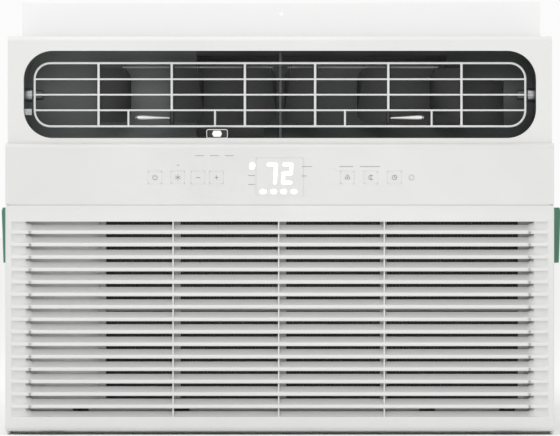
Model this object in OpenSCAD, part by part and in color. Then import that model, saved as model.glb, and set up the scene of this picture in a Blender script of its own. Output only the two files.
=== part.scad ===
// Window air conditioner, drawn in millimetres.
// X runs to the right as you face it, -Y points into the room, Z is up.
// The origin lies on the floor of the base pan, under the middle of the box.

/* [Overall size] */
// Width of the plastic front
front_w = 483; // [400:1:600]
// Height of the tilting intake grille, from the floor to the seam above it
door_h = 202; // [165:1:260]
// Height of the control band, with its rounded top edge
band_h = 54.5; // [46:0.5:80]
// Height of the upper part of the front, which holds the outlet
upper_h = 94.5; // [86:0.5:140]
// Depth of the whole unit, front face to rear guard
unit_d = 546; // [455:1:680]
// How much narrower the steel cabinet is than the front
cabinet_inset = 13; // [8:0.5:30]
// Height of the top window rail above the front
rail_rise = 36; // [25:1:60]

/* [Front] */
// Depth of the plastic front
front_d = 80; // [72:1:110]
// Wall of the plastic front
wall = 3; // [2:0.1:4]
// How far the control band stands proud of the upper part
face_step = 6; // [5:0.5:10]
// How much narrower the upper part is on each side
upper_inset = 1.5; // [0.5:0.5:4]
// Round on the long edges of the front
edge_r = 5; // [3:0.5:6]

/* [Intake grille] */
// Depth of the grille's rim
door_d = 14; // [12:0.5:20]
// Wall of the grille
door_wall = 2.5; // [1.8:0.1:3.5]
// Spacing of the louvres
slot_pitch = 10.96; // [8:0.02:16]
// Clear height of each air slot
slot_gap = 2.9; // [2:0.1:5]
// Height of the bright lip at the front of each louvre
lip_h = 3.3; // [2:0.1:5]
// Depth of a louvre, front to back
louvre_d = 9.5; // [6:0.5:12]
// Plain border at each side of the louvres
side_border = 22.5; // [12:0.5:45]
// Plain strip below the lowest louvre
foot_border = 15.5; // [15:0.5:30]
// Width of a grille support rib
rib_w = 1.2; // [0.8:0.1:3]
// Spacing of the grille support ribs
rib_pitch = 93; // [50:1:110]
// Height of the grille's hinge line above the floor
hinge_z = 10; // [9.5:0.1:12]
// Distance from the front face back to the hinge line
hinge_back = 9; // [8.5:0.1:10]
// Radius of the hinge pins
hinge_pin_r = 2.2; // [1.5:0.1:2.6]
// Distance of each hinge from the side of the front
hinge_inset = 41.5; // [30:0.5:60]

/* [Air filter] */
// Thickness of the filter frame
filter_t = 7; // [5:0.5:7.5]
// Width of the filter frame's bars
filter_bar = 6; // [4:0.5:9]
// Distance from the left side of the front to the filter
filter_start = 81.5; // [60:0.5:110]
// Width of the pull end at the right of the filter
filter_pull = 25; // [18:0.5:35]

/* [Outlet] */
// Side gap between the front's edge and the outlet
outlet_side = 15.5; // [12:0.5:30]
// Height of the outlet
outlet_h = 77; // [70:0.5:80]
// Distance from the top of the front to the middle of the outlet
outlet_drop = 51.5; // [48:0.5:58]
// Corner radius of the outlet
outlet_r = 25.6; // [15:0.1:30]
// Distance from the outlet's left end to where the air duct opens
duct_start = 151; // [100:1:190]
// Distance from the outlet's right end to where the duct loses its full height
duct_stop = 78; // [50:1:120]
// Depth of the tilt line behind the upper face
tilt_depth = 15; // [12:0.5:18]
// Gap between the air director ring and the outlet's ends
ring_side = 8; // [7:0.5:12]
// Height of the air director ring
ring_h = 58; // [54:0.5:60]
// Corner radius of the ring
ring_r = 15; // [8:0.5:20]
// Thickness of the ring bar
ring_bar = 2; // [1.5:0.1:3]
// Thickness of the thin bars across the ring
cell_bar = 1.6; // [1.2:0.1:2.4]
// Height of one cell in the ring
cell_pitch = 13.75; // [12.5:0.25:14.5]
// How far the ring sits in front of the tilt line
ring_fore = 6; // [5:0.5:8]

/* [Vanes] */
// Length of a vane behind its pivot
vane_chord = 32; // [26:0.5:33]
// Height of a vane
vane_h = 48; // [44:0.5:49]
// Thickness of a vane
vane_t = 1.4; // [1:0.1:2]
// Angle of the vanes at rest, away from straight ahead
vane_rest = 58; // [30:1:58]
// Reach of the thumb lever in front of the pivot
lever_reach = 36.5; // [28:0.5:37]
// Distance from pivot to tie bar pin
link_reach = 26; // [20:0.5:28]

/* [Keys] */
// Width of a key
key_w = 13; // [9:0.5:15]
// Height of a key
key_h = 12; // [8:0.5:20]
// Travel of a key
key_travel = 0.9; // [0.5:0.1:1]
// Width of the display window
display_w = 42; // [30:1:60]
// Height of the display window
display_h = 34; // [24:1:38]

/* [Cabinet] */
// Thickness of the cabinet steel
sheet_t = 1.2; // [0.8:0.1:2]
// Height of the base pan wall
pan_h = 24; // [18:1:34]
// Depth of the rear guard
guard_d = 11; // [8:0.5:18]
// Depth of the condenser coil
condenser_d = 30; // [20:1:40]
// Depth of the evaporator coil
evaporator_d = 28; // [18:1:30]

/* [Side handles] */
// Height of the green grip
grip_h = 50; // [40:1:70]
// Length of the green grip
grip_len = 120; // [90:1:150]
// How far the grip stands out from the cabinet
grip_out = 18; // [10:0.5:22]
// Depth of the finger pocket inside the cabinet
pocket_d = 22; // [15:1:28]

/* [Fans] */
// Radius of the condenser fan with its slinger ring
fan_r = 134; // [100:1:136]
// Number of condenser fan blades
fan_blades = 5; // [3:1:7]
// Radius of the blower wheel
blower_r = 84; // [60:1:86]
// Number of blower blades
blower_blades = 32; // [16:1:40]
// Radius of the fan shaft
shaft_r = 4; // [3:0.5:6]
// Height of the fan shaft above the floor
shaft_z = 158; // [156:1:190]

/* [Hidden] */
$fn = 48;
// Clearances, each named for what it separates
seam = 0.8;          // between the grille and the parts around it
run_gap = 0.06;      // round a shaft or pin that turns
slip = 0.5;          // between a sliding or swinging part and its neighbour
seat = 0.2;          // between two fixed parts that butt together
cut = 1;             // how far a cutter runs past a face
print_room = 0.15;   // how far a printed face sits behind the face round it
screw_r = 1.7;       // screw shank
head_r = 3.6;        // screw head
head_h = 2;
shank_l = 7;

// Overall heights and widths
front_h = door_h + band_h + upper_h;
cabinet_w = front_w - cabinet_inset;
hw = front_w / 2;
cw = cabinet_w / 2;
uw = hw - upper_inset;
y_face = -unit_d / 2;
y_up = y_face + face_step;
y_rear = unit_d / 2;
y_skirt = y_face + front_d;
y_door = y_face + door_d;
cab_top = front_h - 5;
rail_top = front_h + rail_rise;

// Intake
door_bottom = 2.5;
y_hinge = y_face + hinge_back;
hinge_x = hw - hinge_inset;
lug_r = 4.8;
lug_w = 8;
ear_w = 5;
y_filter = y_door + 2.5;
y_flange = y_filter + filter_t + 3.5;
filter_x0 = -hw + filter_start;
filter_x1 = hw - filter_pull;
filter_z0 = hinge_z + lug_r + 10.2;
filter_z1 = door_h - 6;
grille_top = door_h - 16.1 + slot_gap / 2;
slot_count = round((grille_top - foot_border + lip_h) / slot_pitch);
louvre_x = hw - side_border;

// Outlet and air director
outlet_w = front_w - 2 * outlet_side;
oz = front_h - outlet_drop;
y_tilt = y_up + tilt_depth;
chamber_r = sqrt(pow(outlet_h / 2, 2) + pow(tilt_depth, 2));
bezel_w = outlet_w + 6;
bezel_wall = 2.5;
y_bezel = y_up + wall;
y_bezel_back = y_tilt + chamber_r + 6.5;
ring_w = outlet_w - 2 * ring_side;
ring_t = 2.4;
y_ring = y_tilt - ring_fore;
post_pitch = ring_w * 0.1484;
// The inner vanes' tips stay clear of each other and of the centre rib
post_first = max(0.48 * post_pitch, vane_chord * sin(vane_rest) + 3.9);
posts = [post_first, post_first + post_pitch, post_first + 2 * post_pitch];
post_bar = 2.1;
lever_window = 38.3;
barrel_r = 2;
vane_pin_r = 1.5;
link_pin_r = 1.2;
link_gap = 0.08;
vane_corner = 10;
boss_half = 3;
tilt_pin_r = 2.5;
tie_t = 1.6;
tie_half = 2.2;
lever_z = -20.4;
lever_t = 1.6;

// Control band
band_z0 = door_h + seam / 2;
band_z1 = door_h + band_h;
key_z = door_h + 24.2;
key_gap = 0.3;
key_xs = [-109.8, -89.7, -72, -55.7, 59.6, 80.3, 101];
cap_d = 3;
key_flange = 1;
stem_r = 2;
stem_end = y_up + 0.8;
board_y = stem_end + key_travel + 1.4;
board_t = 1.6;
dome_h = 0.9;

// Fresh-air vent knob
knob_x = -55.5;
knob_w = 8.9;
knob_h = 5.6;
knob_travel = 3.8;
knob_z = oz - chamber_r + 6.6;
vent_x = -120;
vent_w = 60;
vent_h = 36;
vent_z = oz + 24;
vent_rest = 15;

// Top rail
rail_y = y_skirt + 14;
rail_t = 1.5;
rail_foot = 22;
rail_hole_r = 2.2;
rail_hole_z = rail_top - 11;

// Inside
evap_y = y_flange + wall + 5;
evap_x0 = filter_x0 + 12;
evap_x1 = filter_x1 - 9;
evap_z0 = 24;
evap_z1 = door_h - 4;
scroll_y0 = evap_y + evaporator_d + 8;
scroll_r = blower_r + 14;
scroll_d = 94;
scroll_y1 = scroll_y0 + scroll_d;
duct_z0 = max(oz - chamber_r + 1, shaft_z + scroll_r + 1);
duct_z1 = cab_top + rail_t - shank_l - 1;
duct_wall = 4;
bulk_y = scroll_y1 + 6;
bulk_t = 1.5;
motor_y0 = bulk_y + 20;
motor_r = 52;
motor_l = 95;
cond_y1 = y_rear - guard_d - 4;
cond_y0 = cond_y1 - condenser_d;
shroud_y1 = cond_y0 - 3;
shroud_d = 40;
fan_y1 = shroud_y1 - 12;
fan_d = 46;
fan_y0 = fan_y1 - fan_d;
shaft_y0 = scroll_y0 + 8;
shaft_y1 = fan_y1 + 4;
comp_r = 60;
comp_x = -cw + 95;
comp_y = min(motor_y0 + motor_l + 40, fan_y0 - comp_r - 12);
comp_z0 = 16;
comp_h = 190;
pipe_r = 4.5;
line_r = 3;
thin_pipe_r = 3.5;

// Side handles
grip_top = door_h - 2;
grip_y0 = y_skirt + 6;
flange_t = 2;
grip_wall = 2.5;
pocket_z0 = grip_top - grip_h - 22;
pocket_z1 = grip_top - 4;
pocket_y0 = grip_y0 + 10;
pocket_y1 = grip_y0 + grip_len - 10;

white = [0.90, 0.90, 0.89];
steel_white = [0.86, 0.87, 0.86];
grey = [0.36, 0.37, 0.36];
dark = [0.16, 0.16, 0.16];
pale = [0.72, 0.73, 0.73];
green = [0.27, 0.50, 0.40];
metal = [0.70, 0.71, 0.72];
copper = [0.72, 0.45, 0.30];
foam = [0.88, 0.88, 0.86];
board_green = [0.10, 0.35, 0.20];

module block(x0, x1, y0, y1, z0, z1) {
    translate([x0, y0, z0]) cube([x1 - x0, y1 - y0, z1 - z0]);
}

module rod_x(x0, x1, y, z, r) {
    translate([x0, y, z]) rotate([0, 90, 0]) cylinder(r = r, h = x1 - x0);
}

module rod_y(x, y0, y1, z, r) {
    translate([x, y0, z]) rotate([-90, 0, 0]) cylinder(r = r, h = y1 - y0);
}

module rod_z(x, y, z0, z1, r) {
    translate([x, y, z0]) cylinder(r = r, h = z1 - z0);
}

// A rounded rectangle seen from the front, from y0 to y1, centred on x and z.
module slab(x, z, w, h, r, y0, y1) {
    block(x - w / 2 + r, x + w / 2 - r, y0, y1, z - h / 2, z + h / 2);
    block(x - w / 2, x + w / 2, y0, y1, z - h / 2 + r, z + h / 2 - r);
    for (sx = [-1, 1]) {
        for (sz = [-1, 1]) {
            rod_y(x + sx * (w / 2 - r), y0, y1, z + sz * (h / 2 - r), r);
        }
    }
}

// A box with one long edge rounded: the edge at the front (y0) and at z1 or z0.
module round_top(x0, x1, y0, y1, z0, z1, r) {
    block(x0, x1, y0 + r, y1, z0, z1);
    block(x0, x1, y0, y0 + r + 0.01, z0, z1 - r);
    rod_x(x0, x1, y0 + r, z1 - r, r);
}

module round_foot(x0, x1, y0, y1, z0, z1, r) {
    block(x0, x1, y0 + r, y1, z0, z1);
    block(x0, x1, y0, y0 + r + 0.01, z0 + r, z1);
    rod_x(x0, x1, y0 + r, z0 + r, r);
}

// A pipe that runs through a list of points, each step along one axis.
module pipe_run(points, r) {
    for (i = [0 : len(points) - 2]) {
        a = points[i];
        b = points[i + 1];
        lo = [min(a[0], b[0]), min(a[1], b[1]), min(a[2], b[2])];
        span = [abs(a[0] - b[0]), abs(a[1] - b[1]), abs(a[2] - b[2])];
        if (span[0] > 0) {
            rod_x(lo[0], lo[0] + span[0], lo[1], lo[2], r);
        }
        if (span[1] > 0) {
            rod_y(lo[0], lo[1], lo[1] + span[1], lo[2], r);
        }
        if (span[2] > 0) {
            rod_z(lo[0], lo[1], lo[2], lo[2] + span[2], r);
        }
        if (i > 0) {
            translate(a) sphere(r = r);
        }
    }
}

// Screw places: side screws point along X, rear ones along Y, rail ones along Z.
side_screws = [[y_skirt + 30, 15], [0, 15], [y_rear - guard_d - 20, 15]];
grip_screws = [[grip_y0 + 5, grip_top - grip_h - 16], [grip_y0 + grip_len - 5, grip_top - grip_h - 16]];
rail_xs = [-cw * 0.8, -cw * 0.3, cw * 0.3, cw * 0.8];
guard_x = cw - 14;
guard_zs = [pan_h + 14, cab_top - 14];

module screw(r, head, length) {
    cylinder(r = r, h = length);
    if (head) {
        translate([0, 0, -head_h]) cylinder(r = head_r, h = head_h);
    }
}

module all_screws(r, head, length) {
    for (side = [-1, 1]) {
        for (p = side_screws) {
            translate([side * cw, p[0], p[1]]) rotate([0, -side * 90, 0]) screw(r, head, length);
        }
        for (p = grip_screws) {
            translate([side * (cw + flange_t), p[0], p[1]]) rotate([0, -side * 90, 0]) screw(r, head, length);
        }
        for (z = guard_zs) {
            translate([side * guard_x, y_rear - head_h, z]) rotate([90, 0, 0]) screw(r, head, length);
        }
    }
    for (x = rail_xs) {
        translate([x, rail_y + rail_foot - 8, cab_top + rail_t]) rotate([180, 0, 0]) screw(r, head, length);
    }
}

module case_screws() {
    color(metal) all_screws(screw_r, true, shank_l);
}

module screw_holes() {
    all_screws(screw_r + seat, false, shank_l + cut);
}

// ---- Plastic front ----

module front_frame() {
    color(white) difference() {
        union() {
            front_shell();
            filter_rails();
            hinge_ears();
        }
        hinge_sweep();
        for (x = [-177, -87.5, 130.5, 201.5]) {
            block(x - 7, x + 7, y_flange - cut, y_flange + wall + cut, filter_z0 - 8, filter_z0 - 1);
        }
    }
}

module front_shell() {
    difference() {
        union() {
            round_top(-uw, uw, y_up, y_skirt, band_z0, front_h, edge_r);
            block(-hw, hw, y_up, y_skirt, band_z0, band_z1);
            block(-hw, hw, y_door + slip, y_skirt, 0, band_z0 + cut);
        }
        // Hollow behind the outlet and the band, then behind the intake flange
        block(-uw + wall, uw - wall, y_up + wall, y_skirt + cut, band_z0 + wall, front_h - wall);
        block(-hw + wall, hw - wall, y_flange + wall, y_skirt + cut, wall, band_z0 + wall + cut);
        // Room for the grille and the filter in front of the flange
        block(-hw + wall, hw - wall, y_face, y_flange, -cut, band_z0);
        block(hw - wall - cut, hw + cut, y_face, y_flange + slip, filter_z0 - 1.5, filter_z1 + 1.5);
        // Outlet and intake openings
        slab(0, oz, outlet_w, outlet_h, outlet_r, y_up - cut, y_up + wall + cut);
        block(filter_x0 + filter_bar, filter_x1 - filter_bar, y_flange - cut, y_flange + wall + cut,
              filter_z0 + filter_bar, filter_z1 - filter_bar);
        // Windows for the key stems and the display
        block(key_xs[0] - key_w / 2, key_xs[3] + key_w / 2, y_up - cut, y_up + wall + cut,
              key_z - 5, key_z + 5);
        block(key_xs[4] - key_w / 2, key_xs[6] + key_w / 2, y_up - cut, y_up + wall + cut,
              key_z - 5, key_z + 5);
        block(-display_w / 2 + 3, display_w / 2 - 3, y_up - cut, y_up + wall + cut,
              key_z - 12, key_z + 12);
    }
}

module filter_rails() {
    for (z = [filter_z0 - 1.6 - slip, filter_z1 + slip]) {
        block(filter_x0 - 4, hw - wall, y_filter, y_flange + slip, z, z + 1.6);
    }
}

module hinge_ears() {
    for (side = [-1, 1]) {
        for (at = [-1, 1]) {
            x = side * hinge_x + at * (lug_w / 2 + slip + ear_w / 2);
            rod_x(x - ear_w / 2, x + ear_w / 2, y_hinge, hinge_z, lug_r);
            block(x - ear_w / 2, x + ear_w / 2, y_hinge, y_flange + cut, hinge_z - lug_r, hinge_z + lug_r);
        }
        x0 = side * hinge_x - lug_w / 2 - slip - ear_w;
        rod_x(x0, x0 + lug_w + 2 * slip + 2 * ear_w, y_hinge, hinge_z, hinge_pin_r);
    }
}

// The rear rim of the grille swings through here as it opens.
module hinge_sweep() {
    for (side = [-1, 1]) {
        rod_x(side * hw - wall - cut, side * hw + wall + cut, y_hinge, hinge_z, hinge_z + slip);
    }
    inner = hinge_x - lug_w / 2 - slip - ear_w;
    outer = hinge_x + lug_w / 2 + slip + ear_w;
    rod_x(-inner + slip, inner - slip, y_hinge, hinge_z, hinge_z + slip);
    for (side = [-1, 1]) {
        mid = side * (outer + hw) / 2;
        reach = (hw - outer) / 2 - slip;
        rod_x(mid - reach, mid + reach, y_hinge, hinge_z, hinge_z + slip);
    }
}

module control_band() {
    color(white) difference() {
        intersection() {
            round_top(-hw, hw, y_face + print_room, y_up - seat, band_z0, band_z1, edge_r);
            block(-hw - cut, hw + cut, y_face, y_up - seat, band_z0 - cut, band_z1 + cut);
        }
        block(-hw + wall, hw - wall, y_face + cap_d, y_up + cut, band_z0 + wall, band_z1 - wall);
        for (x = key_xs) {
            slab(x, key_z, key_w, key_h, 2, y_face - cut, y_face + cap_d + cut);
        }
        slab(0, key_z + 0.5, display_w, display_h, 2, y_face - cut, y_face + cap_d + cut);
    }
}

module display_window() {
    color(white) {
        slab(0, key_z + 0.5, display_w - seat, display_h - seat, 2, y_face + 2 * print_room, y_face + cap_d + 1.2);
        block(-display_w / 2 - 2, display_w / 2 + 2, y_face + cap_d + seat, y_face + cap_d + 1.2,
              key_z - 12, key_z + 13);
    }
}

module key_cap(i) {
    x = key_xs[i];
    color(white) {
        slab(x, key_z, key_w - 2 * key_gap, key_h - 2 * key_gap, 2 - key_gap,
             y_face + 2 * print_room, y_face + cap_d + slip);
        slab(x, key_z, key_w + 2, key_h + 2, 2, y_face + cap_d + slip, y_face + cap_d + slip + key_flange);
        rod_y(x, y_face + cap_d + slip + key_flange - 0.1, stem_end, key_z, stem_r);
    }
}

module key_power() {
    key_cap(0);
}

module key_mode() {
    key_cap(1);
}

module key_temp_down() {
    key_cap(2);
}

module key_temp_up() {
    key_cap(3);
}

module key_fan() {
    key_cap(4);
}

module key_sleep() {
    key_cap(5);
}

module key_timer() {
    key_cap(6);
}

module key_board() {
    color(board_green) {
        block(key_xs[0] - 12, key_xs[6] + 12, board_y, board_y + board_t, key_z - 14, key_z + 14);
        for (x = key_xs) {
            rod_y(x, board_y - dome_h, board_y + 0.1, key_z, 3.2);
        }
        block(-display_w / 2 + 6, display_w / 2 - 6, board_y - 2, board_y + 0.1, key_z - 9, key_z + 9);
    }
}

// ---- Tilting intake grille ----

module intake_grille() {
    color(white) {
        difference() {
            round_foot(-hw, hw, y_face, y_door, door_bottom, door_h - seam / 2, edge_r);
            block(-hw + door_wall, hw - door_wall, y_face + door_wall, y_door + cut,
                  door_bottom + door_wall, door_h - seam / 2 - door_wall);
            for (side = [-1, 1]) {
                span = lug_w / 2 + ear_w + 3 * slip;
                block(side * hinge_x - span, side * hinge_x + span, y_face + door_wall, y_door + cut,
                      0, hinge_z + lug_r);
            }
            block(-louvre_x, louvre_x, y_face - cut, y_face + door_wall + cut,
                  grille_top - slot_count * slot_pitch + lip_h, grille_top);
        }
        for (i = [1 : slot_count]) {
            louvre(grille_top - i * slot_pitch);
        }
        for (x = [-rib_pitch - 1, -1, rib_pitch - 1]) {
            block(x - rib_w / 2, x + rib_w / 2, y_face + door_wall - 1, y_face + louvre_d,
                  grille_top - slot_count * slot_pitch, grille_top + 2);
        }
        for (side = [-1, 1]) {
            hinge_lug(side * hinge_x);
        }
    }
}

// One louvre: a lip at the front that sweeps up and back.
module louvre(z) {
    drop = slot_pitch - slot_gap;
    translate([louvre_x + 1, 0, 0]) rotate([0, -90, 0]) linear_extrude(height = 2 * louvre_x + 2)
        polygon([
            [z, y_face], [z + lip_h, y_face], [z + lip_h + 1.2, y_face + 1.1],
            [z + lip_h + 2.6, y_face + 2.9], [z + drop, y_face + 6.4], [z + drop, y_face + louvre_d],
            [z + drop - 1.3, y_face + louvre_d], [z + drop - 1.7, y_face + 7],
            [z + lip_h + 1, y_face + 4.2], [z + 1, y_face + 1.4]
        ]);
}

module hinge_lug(x) {
    difference() {
        union() {
            rod_x(x - lug_w / 2, x + lug_w / 2, y_hinge, hinge_z, lug_r);
            block(x - lug_w / 2, x + lug_w / 2, y_face + door_wall - 0.5, y_hinge,
                  hinge_z - 3.2, hinge_z + 3.2);
        }
        rod_x(x - lug_w, x + lug_w, y_hinge, hinge_z, hinge_pin_r + run_gap);
    }
}

module filter_frame() {
    x1 = hw - 0.6;
    color(pale) difference() {
        union() {
            difference() {
                block(filter_x0, filter_x1, y_filter, y_filter + filter_t, filter_z0, filter_z1);
                block(filter_x0 + filter_bar, filter_x1 - filter_bar, y_filter - cut,
                      y_filter + filter_t + cut, filter_z0 + filter_bar, filter_z1 - filter_bar);
            }
            for (x = [-91, 2.4, 91.5]) {
                block(x - filter_bar / 2, x + filter_bar / 2, y_filter + 2, y_filter + 5,
                      filter_z0 + 1, filter_z1 - 1);
            }
            block(filter_x0 + 1, filter_x1 - 1, y_filter + 2, y_filter + 5,
                  (filter_z0 + filter_z1) / 2 - 2, (filter_z0 + filter_z1) / 2 + 2);
            block(filter_x1 - 0.1, x1, y_filter, y_filter + 2.5, filter_z0 + 48, filter_z1);
            block(x1 - 3, x1, y_filter, y_filter + filter_t, filter_z0, filter_z1);
            block(filter_x1 - 0.1, x1, y_filter, y_filter + filter_t, filter_z0, filter_z0 + 3);
        }
        block(filter_x0 + 2, filter_x1 - 2, y_filter + 4.2, y_filter + filter_t + cut,
              filter_z0 + 2, filter_z1 - 2);
    }
}

module filter_mesh() {
    color(dark)
        block(filter_x0 + 2 + seat, filter_x1 - 2 - seat, y_filter + 4.3, y_filter + 5.3,
              filter_z0 + 2 + seat, filter_z1 - 2 - seat);
}

// ---- Outlet, air director and vanes ----

module outlet_bezel() {
    color(grey) difference() {
        union() {
            difference() {
                block(-bezel_w / 2, bezel_w / 2, y_bezel + seat, y_bezel_back,
                      oz - chamber_r - bezel_wall, oz + chamber_r + bezel_wall);
                intersection() {
                    rod_x(-bezel_w, bezel_w, y_tilt, oz, chamber_r);
                    slab(0, oz, outlet_w, 2 * chamber_r + 1, outlet_r + 2, y_bezel - cut, y_bezel_back - 3);
                }
                duct_openings();
            }
            block(-1, 1, y_tilt + 16, y_bezel_back, oz - chamber_r - 1, oz + chamber_r + 1);
        }
        for (side = [-1, 1]) {
            rod_x(side * outlet_w / 2 - 4, side * outlet_w / 2 + 4, y_tilt, oz, 3 + seat);
        }
        block(-outlet_w / 2 - 1.5, -outlet_w / 2 + 2, y_tilt - 9.2, y_tilt - 1.8, oz - 18.2, oz - 12.3);
        // Slot for the vent knob's bracket
        block(knob_x - 10, knob_x + 10, y_bezel - cut, y_bezel + 10, knob_z - 3.4 - bezel_wall, oz - 30);
    }
}

// Where the air duct opens through the back of the mouth. The rest of the back is closed.
module duct_openings() {
    x0 = -outlet_w / 2 + duct_start;
    x1 = outlet_w / 2 - duct_stop;
    y1 = y_bezel_back + cut;
    block(x0, x1, y_tilt, y1, oz - 28, oz + 36);
    block(x0, x0 + 60, y_tilt, y1, oz - 36, oz);
    block(x1 - cut, x1 + 52, y_tilt, y1, oz - 28, oz + 14);
}

module director_ring() {
    color(white) difference() {
        union() {
            difference() {
                slab(0, oz, ring_w, ring_h, ring_r, y_ring - ring_t / 2, y_ring + ring_t / 2);
                slab(0, oz, ring_w - 2 * ring_bar, ring_h - 2 * ring_bar, ring_r - ring_bar,
                     y_ring - ring_t, y_ring + ring_t);
            }
            for (k = [-1, 0, 1]) {
                z = oz + k * cell_pitch;
                block(-ring_w / 2 + 1, ring_w / 2 - 1, y_ring - 0.9, y_ring + 0.9,
                      z - cell_bar / 2, z + cell_bar / 2);
            }
            for (side = [-1, 1]) {
                ring_posts(side);
                end_bush(side);
            }
        }
        for (side = [-1, 1]) {
            rod_x(side * ring_w / 2 - 12, side * ring_w / 2 + 12, y_tilt, oz, tilt_pin_r + run_gap);
            for (post = posts) {
                x = side * post;
                rod_z(x, y_tilt, oz - ring_h / 2 - cut, oz - ring_h / 2 + 4, vane_pin_r + run_gap);
                rod_z(x, y_tilt, oz + ring_h / 2 - 4, oz + ring_h / 2 + cut, vane_pin_r + run_gap);
            }
        }
    }
}

module ring_posts(side) {
    low = oz - cell_pitch;
    foot = oz - ring_h / 2 + ring_bar / 2;
    head = oz + ring_h / 2 - ring_bar / 2;
    y0 = y_ring - 0.9;
    y1 = y_ring + 0.9;
    for (post = posts) {
        x = side * post;
        z0 = post == posts[1] ? low : foot;
        block(x - post_bar / 2, x + post_bar / 2, y0, y1, z0, head);
        block(x - boss_half, x + boss_half, y_ring - 0.5, y_tilt + boss_half,
              oz + ring_h / 2 - 2.7, oz + ring_h / 2);
        block(x - boss_half, x + boss_half, y_ring - 0.5, y_tilt + boss_half,
              oz - ring_h / 2, oz - ring_h / 2 + 2.7);
    }
    for (dx = [-lever_window, lever_window]) {
        x = side * posts[1] + dx;
        block(x - 0.9, x + 0.9, y0, y1, foot, low);
    }
}

// Arm and bush that carry the ring on its end pin.
module end_bush(side) {
    x0 = side > 0 ? ring_w / 2 - 8 : -ring_w / 2;
    rod_x(x0, x0 + 8, y_tilt, oz, 4.2);
    block(x0, x0 + 8, y_ring - 0.5, y_tilt, oz - 3, oz + 3);
}

module director_pivots() {
    color(metal) for (side = [-1, 1]) {
        a = outlet_w / 2;
        mirror([side > 0 ? 0 : 1, 0, 0]) {
            rod_x(a - ring_side + 1.2, a, y_tilt, oz, 6);
            rod_x(a - 0.1, a + 2.6, y_tilt, oz, 3);
            rod_x(a - ring_side - 7, a - ring_side + 1.3, y_tilt, oz, tilt_pin_r);
        }
    }
}

module friction_clip() {
    color(metal) {
        block(-outlet_w / 2 - 1.3, -outlet_w / 2 + 1, y_tilt - 9, y_tilt - 2, oz - 18, oz - 12.5);
        block(-outlet_w / 2 + 0.8, -outlet_w / 2 + ring_side - 1.5, y_tilt - 7, y_tilt - 6,
              oz - 18, oz - 12.5);
    }
}

// A vane in its own frame: the pivot on the Z axis, the blade running back along +Y.
module vane_shape(lever) {
    hh = vane_h / 2;
    block(-vane_t / 2, vane_t / 2, 0, vane_chord - vane_corner, -hh, hh);
    block(-vane_t / 2, vane_t / 2, 0, vane_chord, -hh + vane_corner, hh - vane_corner);
    for (s = [-1, 1]) {
        rod_x(-vane_t / 2, vane_t / 2, vane_chord - vane_corner, s * (hh - vane_corner), vane_corner);
    }
    rod_z(0, 0, -ring_h / 2 + 3.2, ring_h / 2 - 3.2, barrel_r);
    rod_z(0, 0, -ring_h / 2 + 0.3, ring_h / 2 - 0.3, vane_pin_r);
    rod_z(0, link_reach, hh - 5, hh + 0.3 + tie_t + 0.9, link_pin_r);
    if (lever) {
        rod_x(-lever_t / 2, lever_t / 2, -lever_reach + 1.6, lever_z, 1.6);
        translate([lever_t / 2, 0, 0]) rotate([0, -90, 0]) linear_extrude(height = lever_t)
            polygon([
                [lever_z - 0.8, 0], [lever_z + 0.8, 0], [lever_z + 0.8, -8],
                [lever_z + 1.6, -lever_reach + 1.6], [lever_z - 1.6, -lever_reach + 1.6],
                [lever_z - 0.8, -8]
            ]);
    }
}

module vane(side, place, lever) {
    color(dark) translate([side * posts[place], y_tilt, oz]) rotate([0, 0, side * vane_rest])
        vane_shape(lever);
}

module vane_left_outer() {
    vane(-1, 2, false);
}

module vane_left_lead() {
    vane(-1, 1, true);
}

module vane_left_inner() {
    vane(-1, 0, false);
}

module vane_right_inner() {
    vane(1, 0, false);
}

module vane_right_lead() {
    vane(1, 1, true);
}

module vane_right_outer() {
    vane(1, 2, false);
}

module tie_bar(side) {
    dx = -side * link_reach * sin(vane_rest);
    y = y_tilt + link_reach * cos(vane_rest);
    z0 = oz + vane_h / 2 + 0.3;
    xa = side * posts[0] + dx;
    xb = side * posts[2] + dx;
    color(pale) difference() {
        union() {
            block(min(xa, xb), max(xa, xb), y - tie_half + 0.4, y + tie_half - 0.4, z0, z0 + tie_t);
            for (post = posts) {
                rod_z(side * post + dx, y, z0, z0 + tie_t, tie_half + 0.4);
            }
        }
        for (post = posts) {
            rod_z(side * post + dx, y, z0 - cut, z0 + tie_t + cut, link_pin_r + link_gap);
        }
    }
}

module tie_bar_left() {
    tie_bar(-1);
}

module tie_bar_right() {
    tie_bar(1);
}

// ---- Fresh-air vent ----

module vent_bracket() {
    z0 = knob_z - knob_h / 2 - 0.9 - slip;
    z1 = knob_z + knob_h / 2 + 0.9 + slip;
    color(dark) {
        difference() {
            block(knob_x - 9.6, knob_x + 9.6, y_bezel + 0.6, y_bezel + 4.6, z0, z1);
            block(knob_x - 8.7, knob_x + 8.7, y_bezel - cut, y_bezel + 6, z0 + 0.9, z1 - 0.9);
        }
        block(knob_x - 9.6, knob_x + 9.6, y_bezel + 4.5, y_bezel + 6, z0, z1);
        block(knob_x + 1, knob_x + 9.6, y_bezel + 5.9, y_bezel + 9.6, z0, z1);
    }
}

module vent_knob() {
    w = knob_w / 2;
    h = knob_h / 2;
    color(white) translate([knob_x, y_bezel - 1, knob_z]) rotate([-90, 0, 0])
        linear_extrude(height = 5)
            polygon([[-w, 0], [-w * 0.7, h], [w * 0.7, h], [w, 0], [w * 0.7, -h], [-w * 0.7, -h]]);
}

module vent_door() {
    color(pale) translate([vent_x, bulk_y + bulk_t + 3, vent_z]) rotate([vent_rest, 0, 0]) {
        block(-vent_w / 2, vent_w / 2, -1.6, -0.4, -vent_h, 0);
        rod_x(-vent_w / 2 - 3, vent_w / 2 + 3, 0, 0, 1.6);
    }
}

// ---- Cabinet ----

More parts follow.
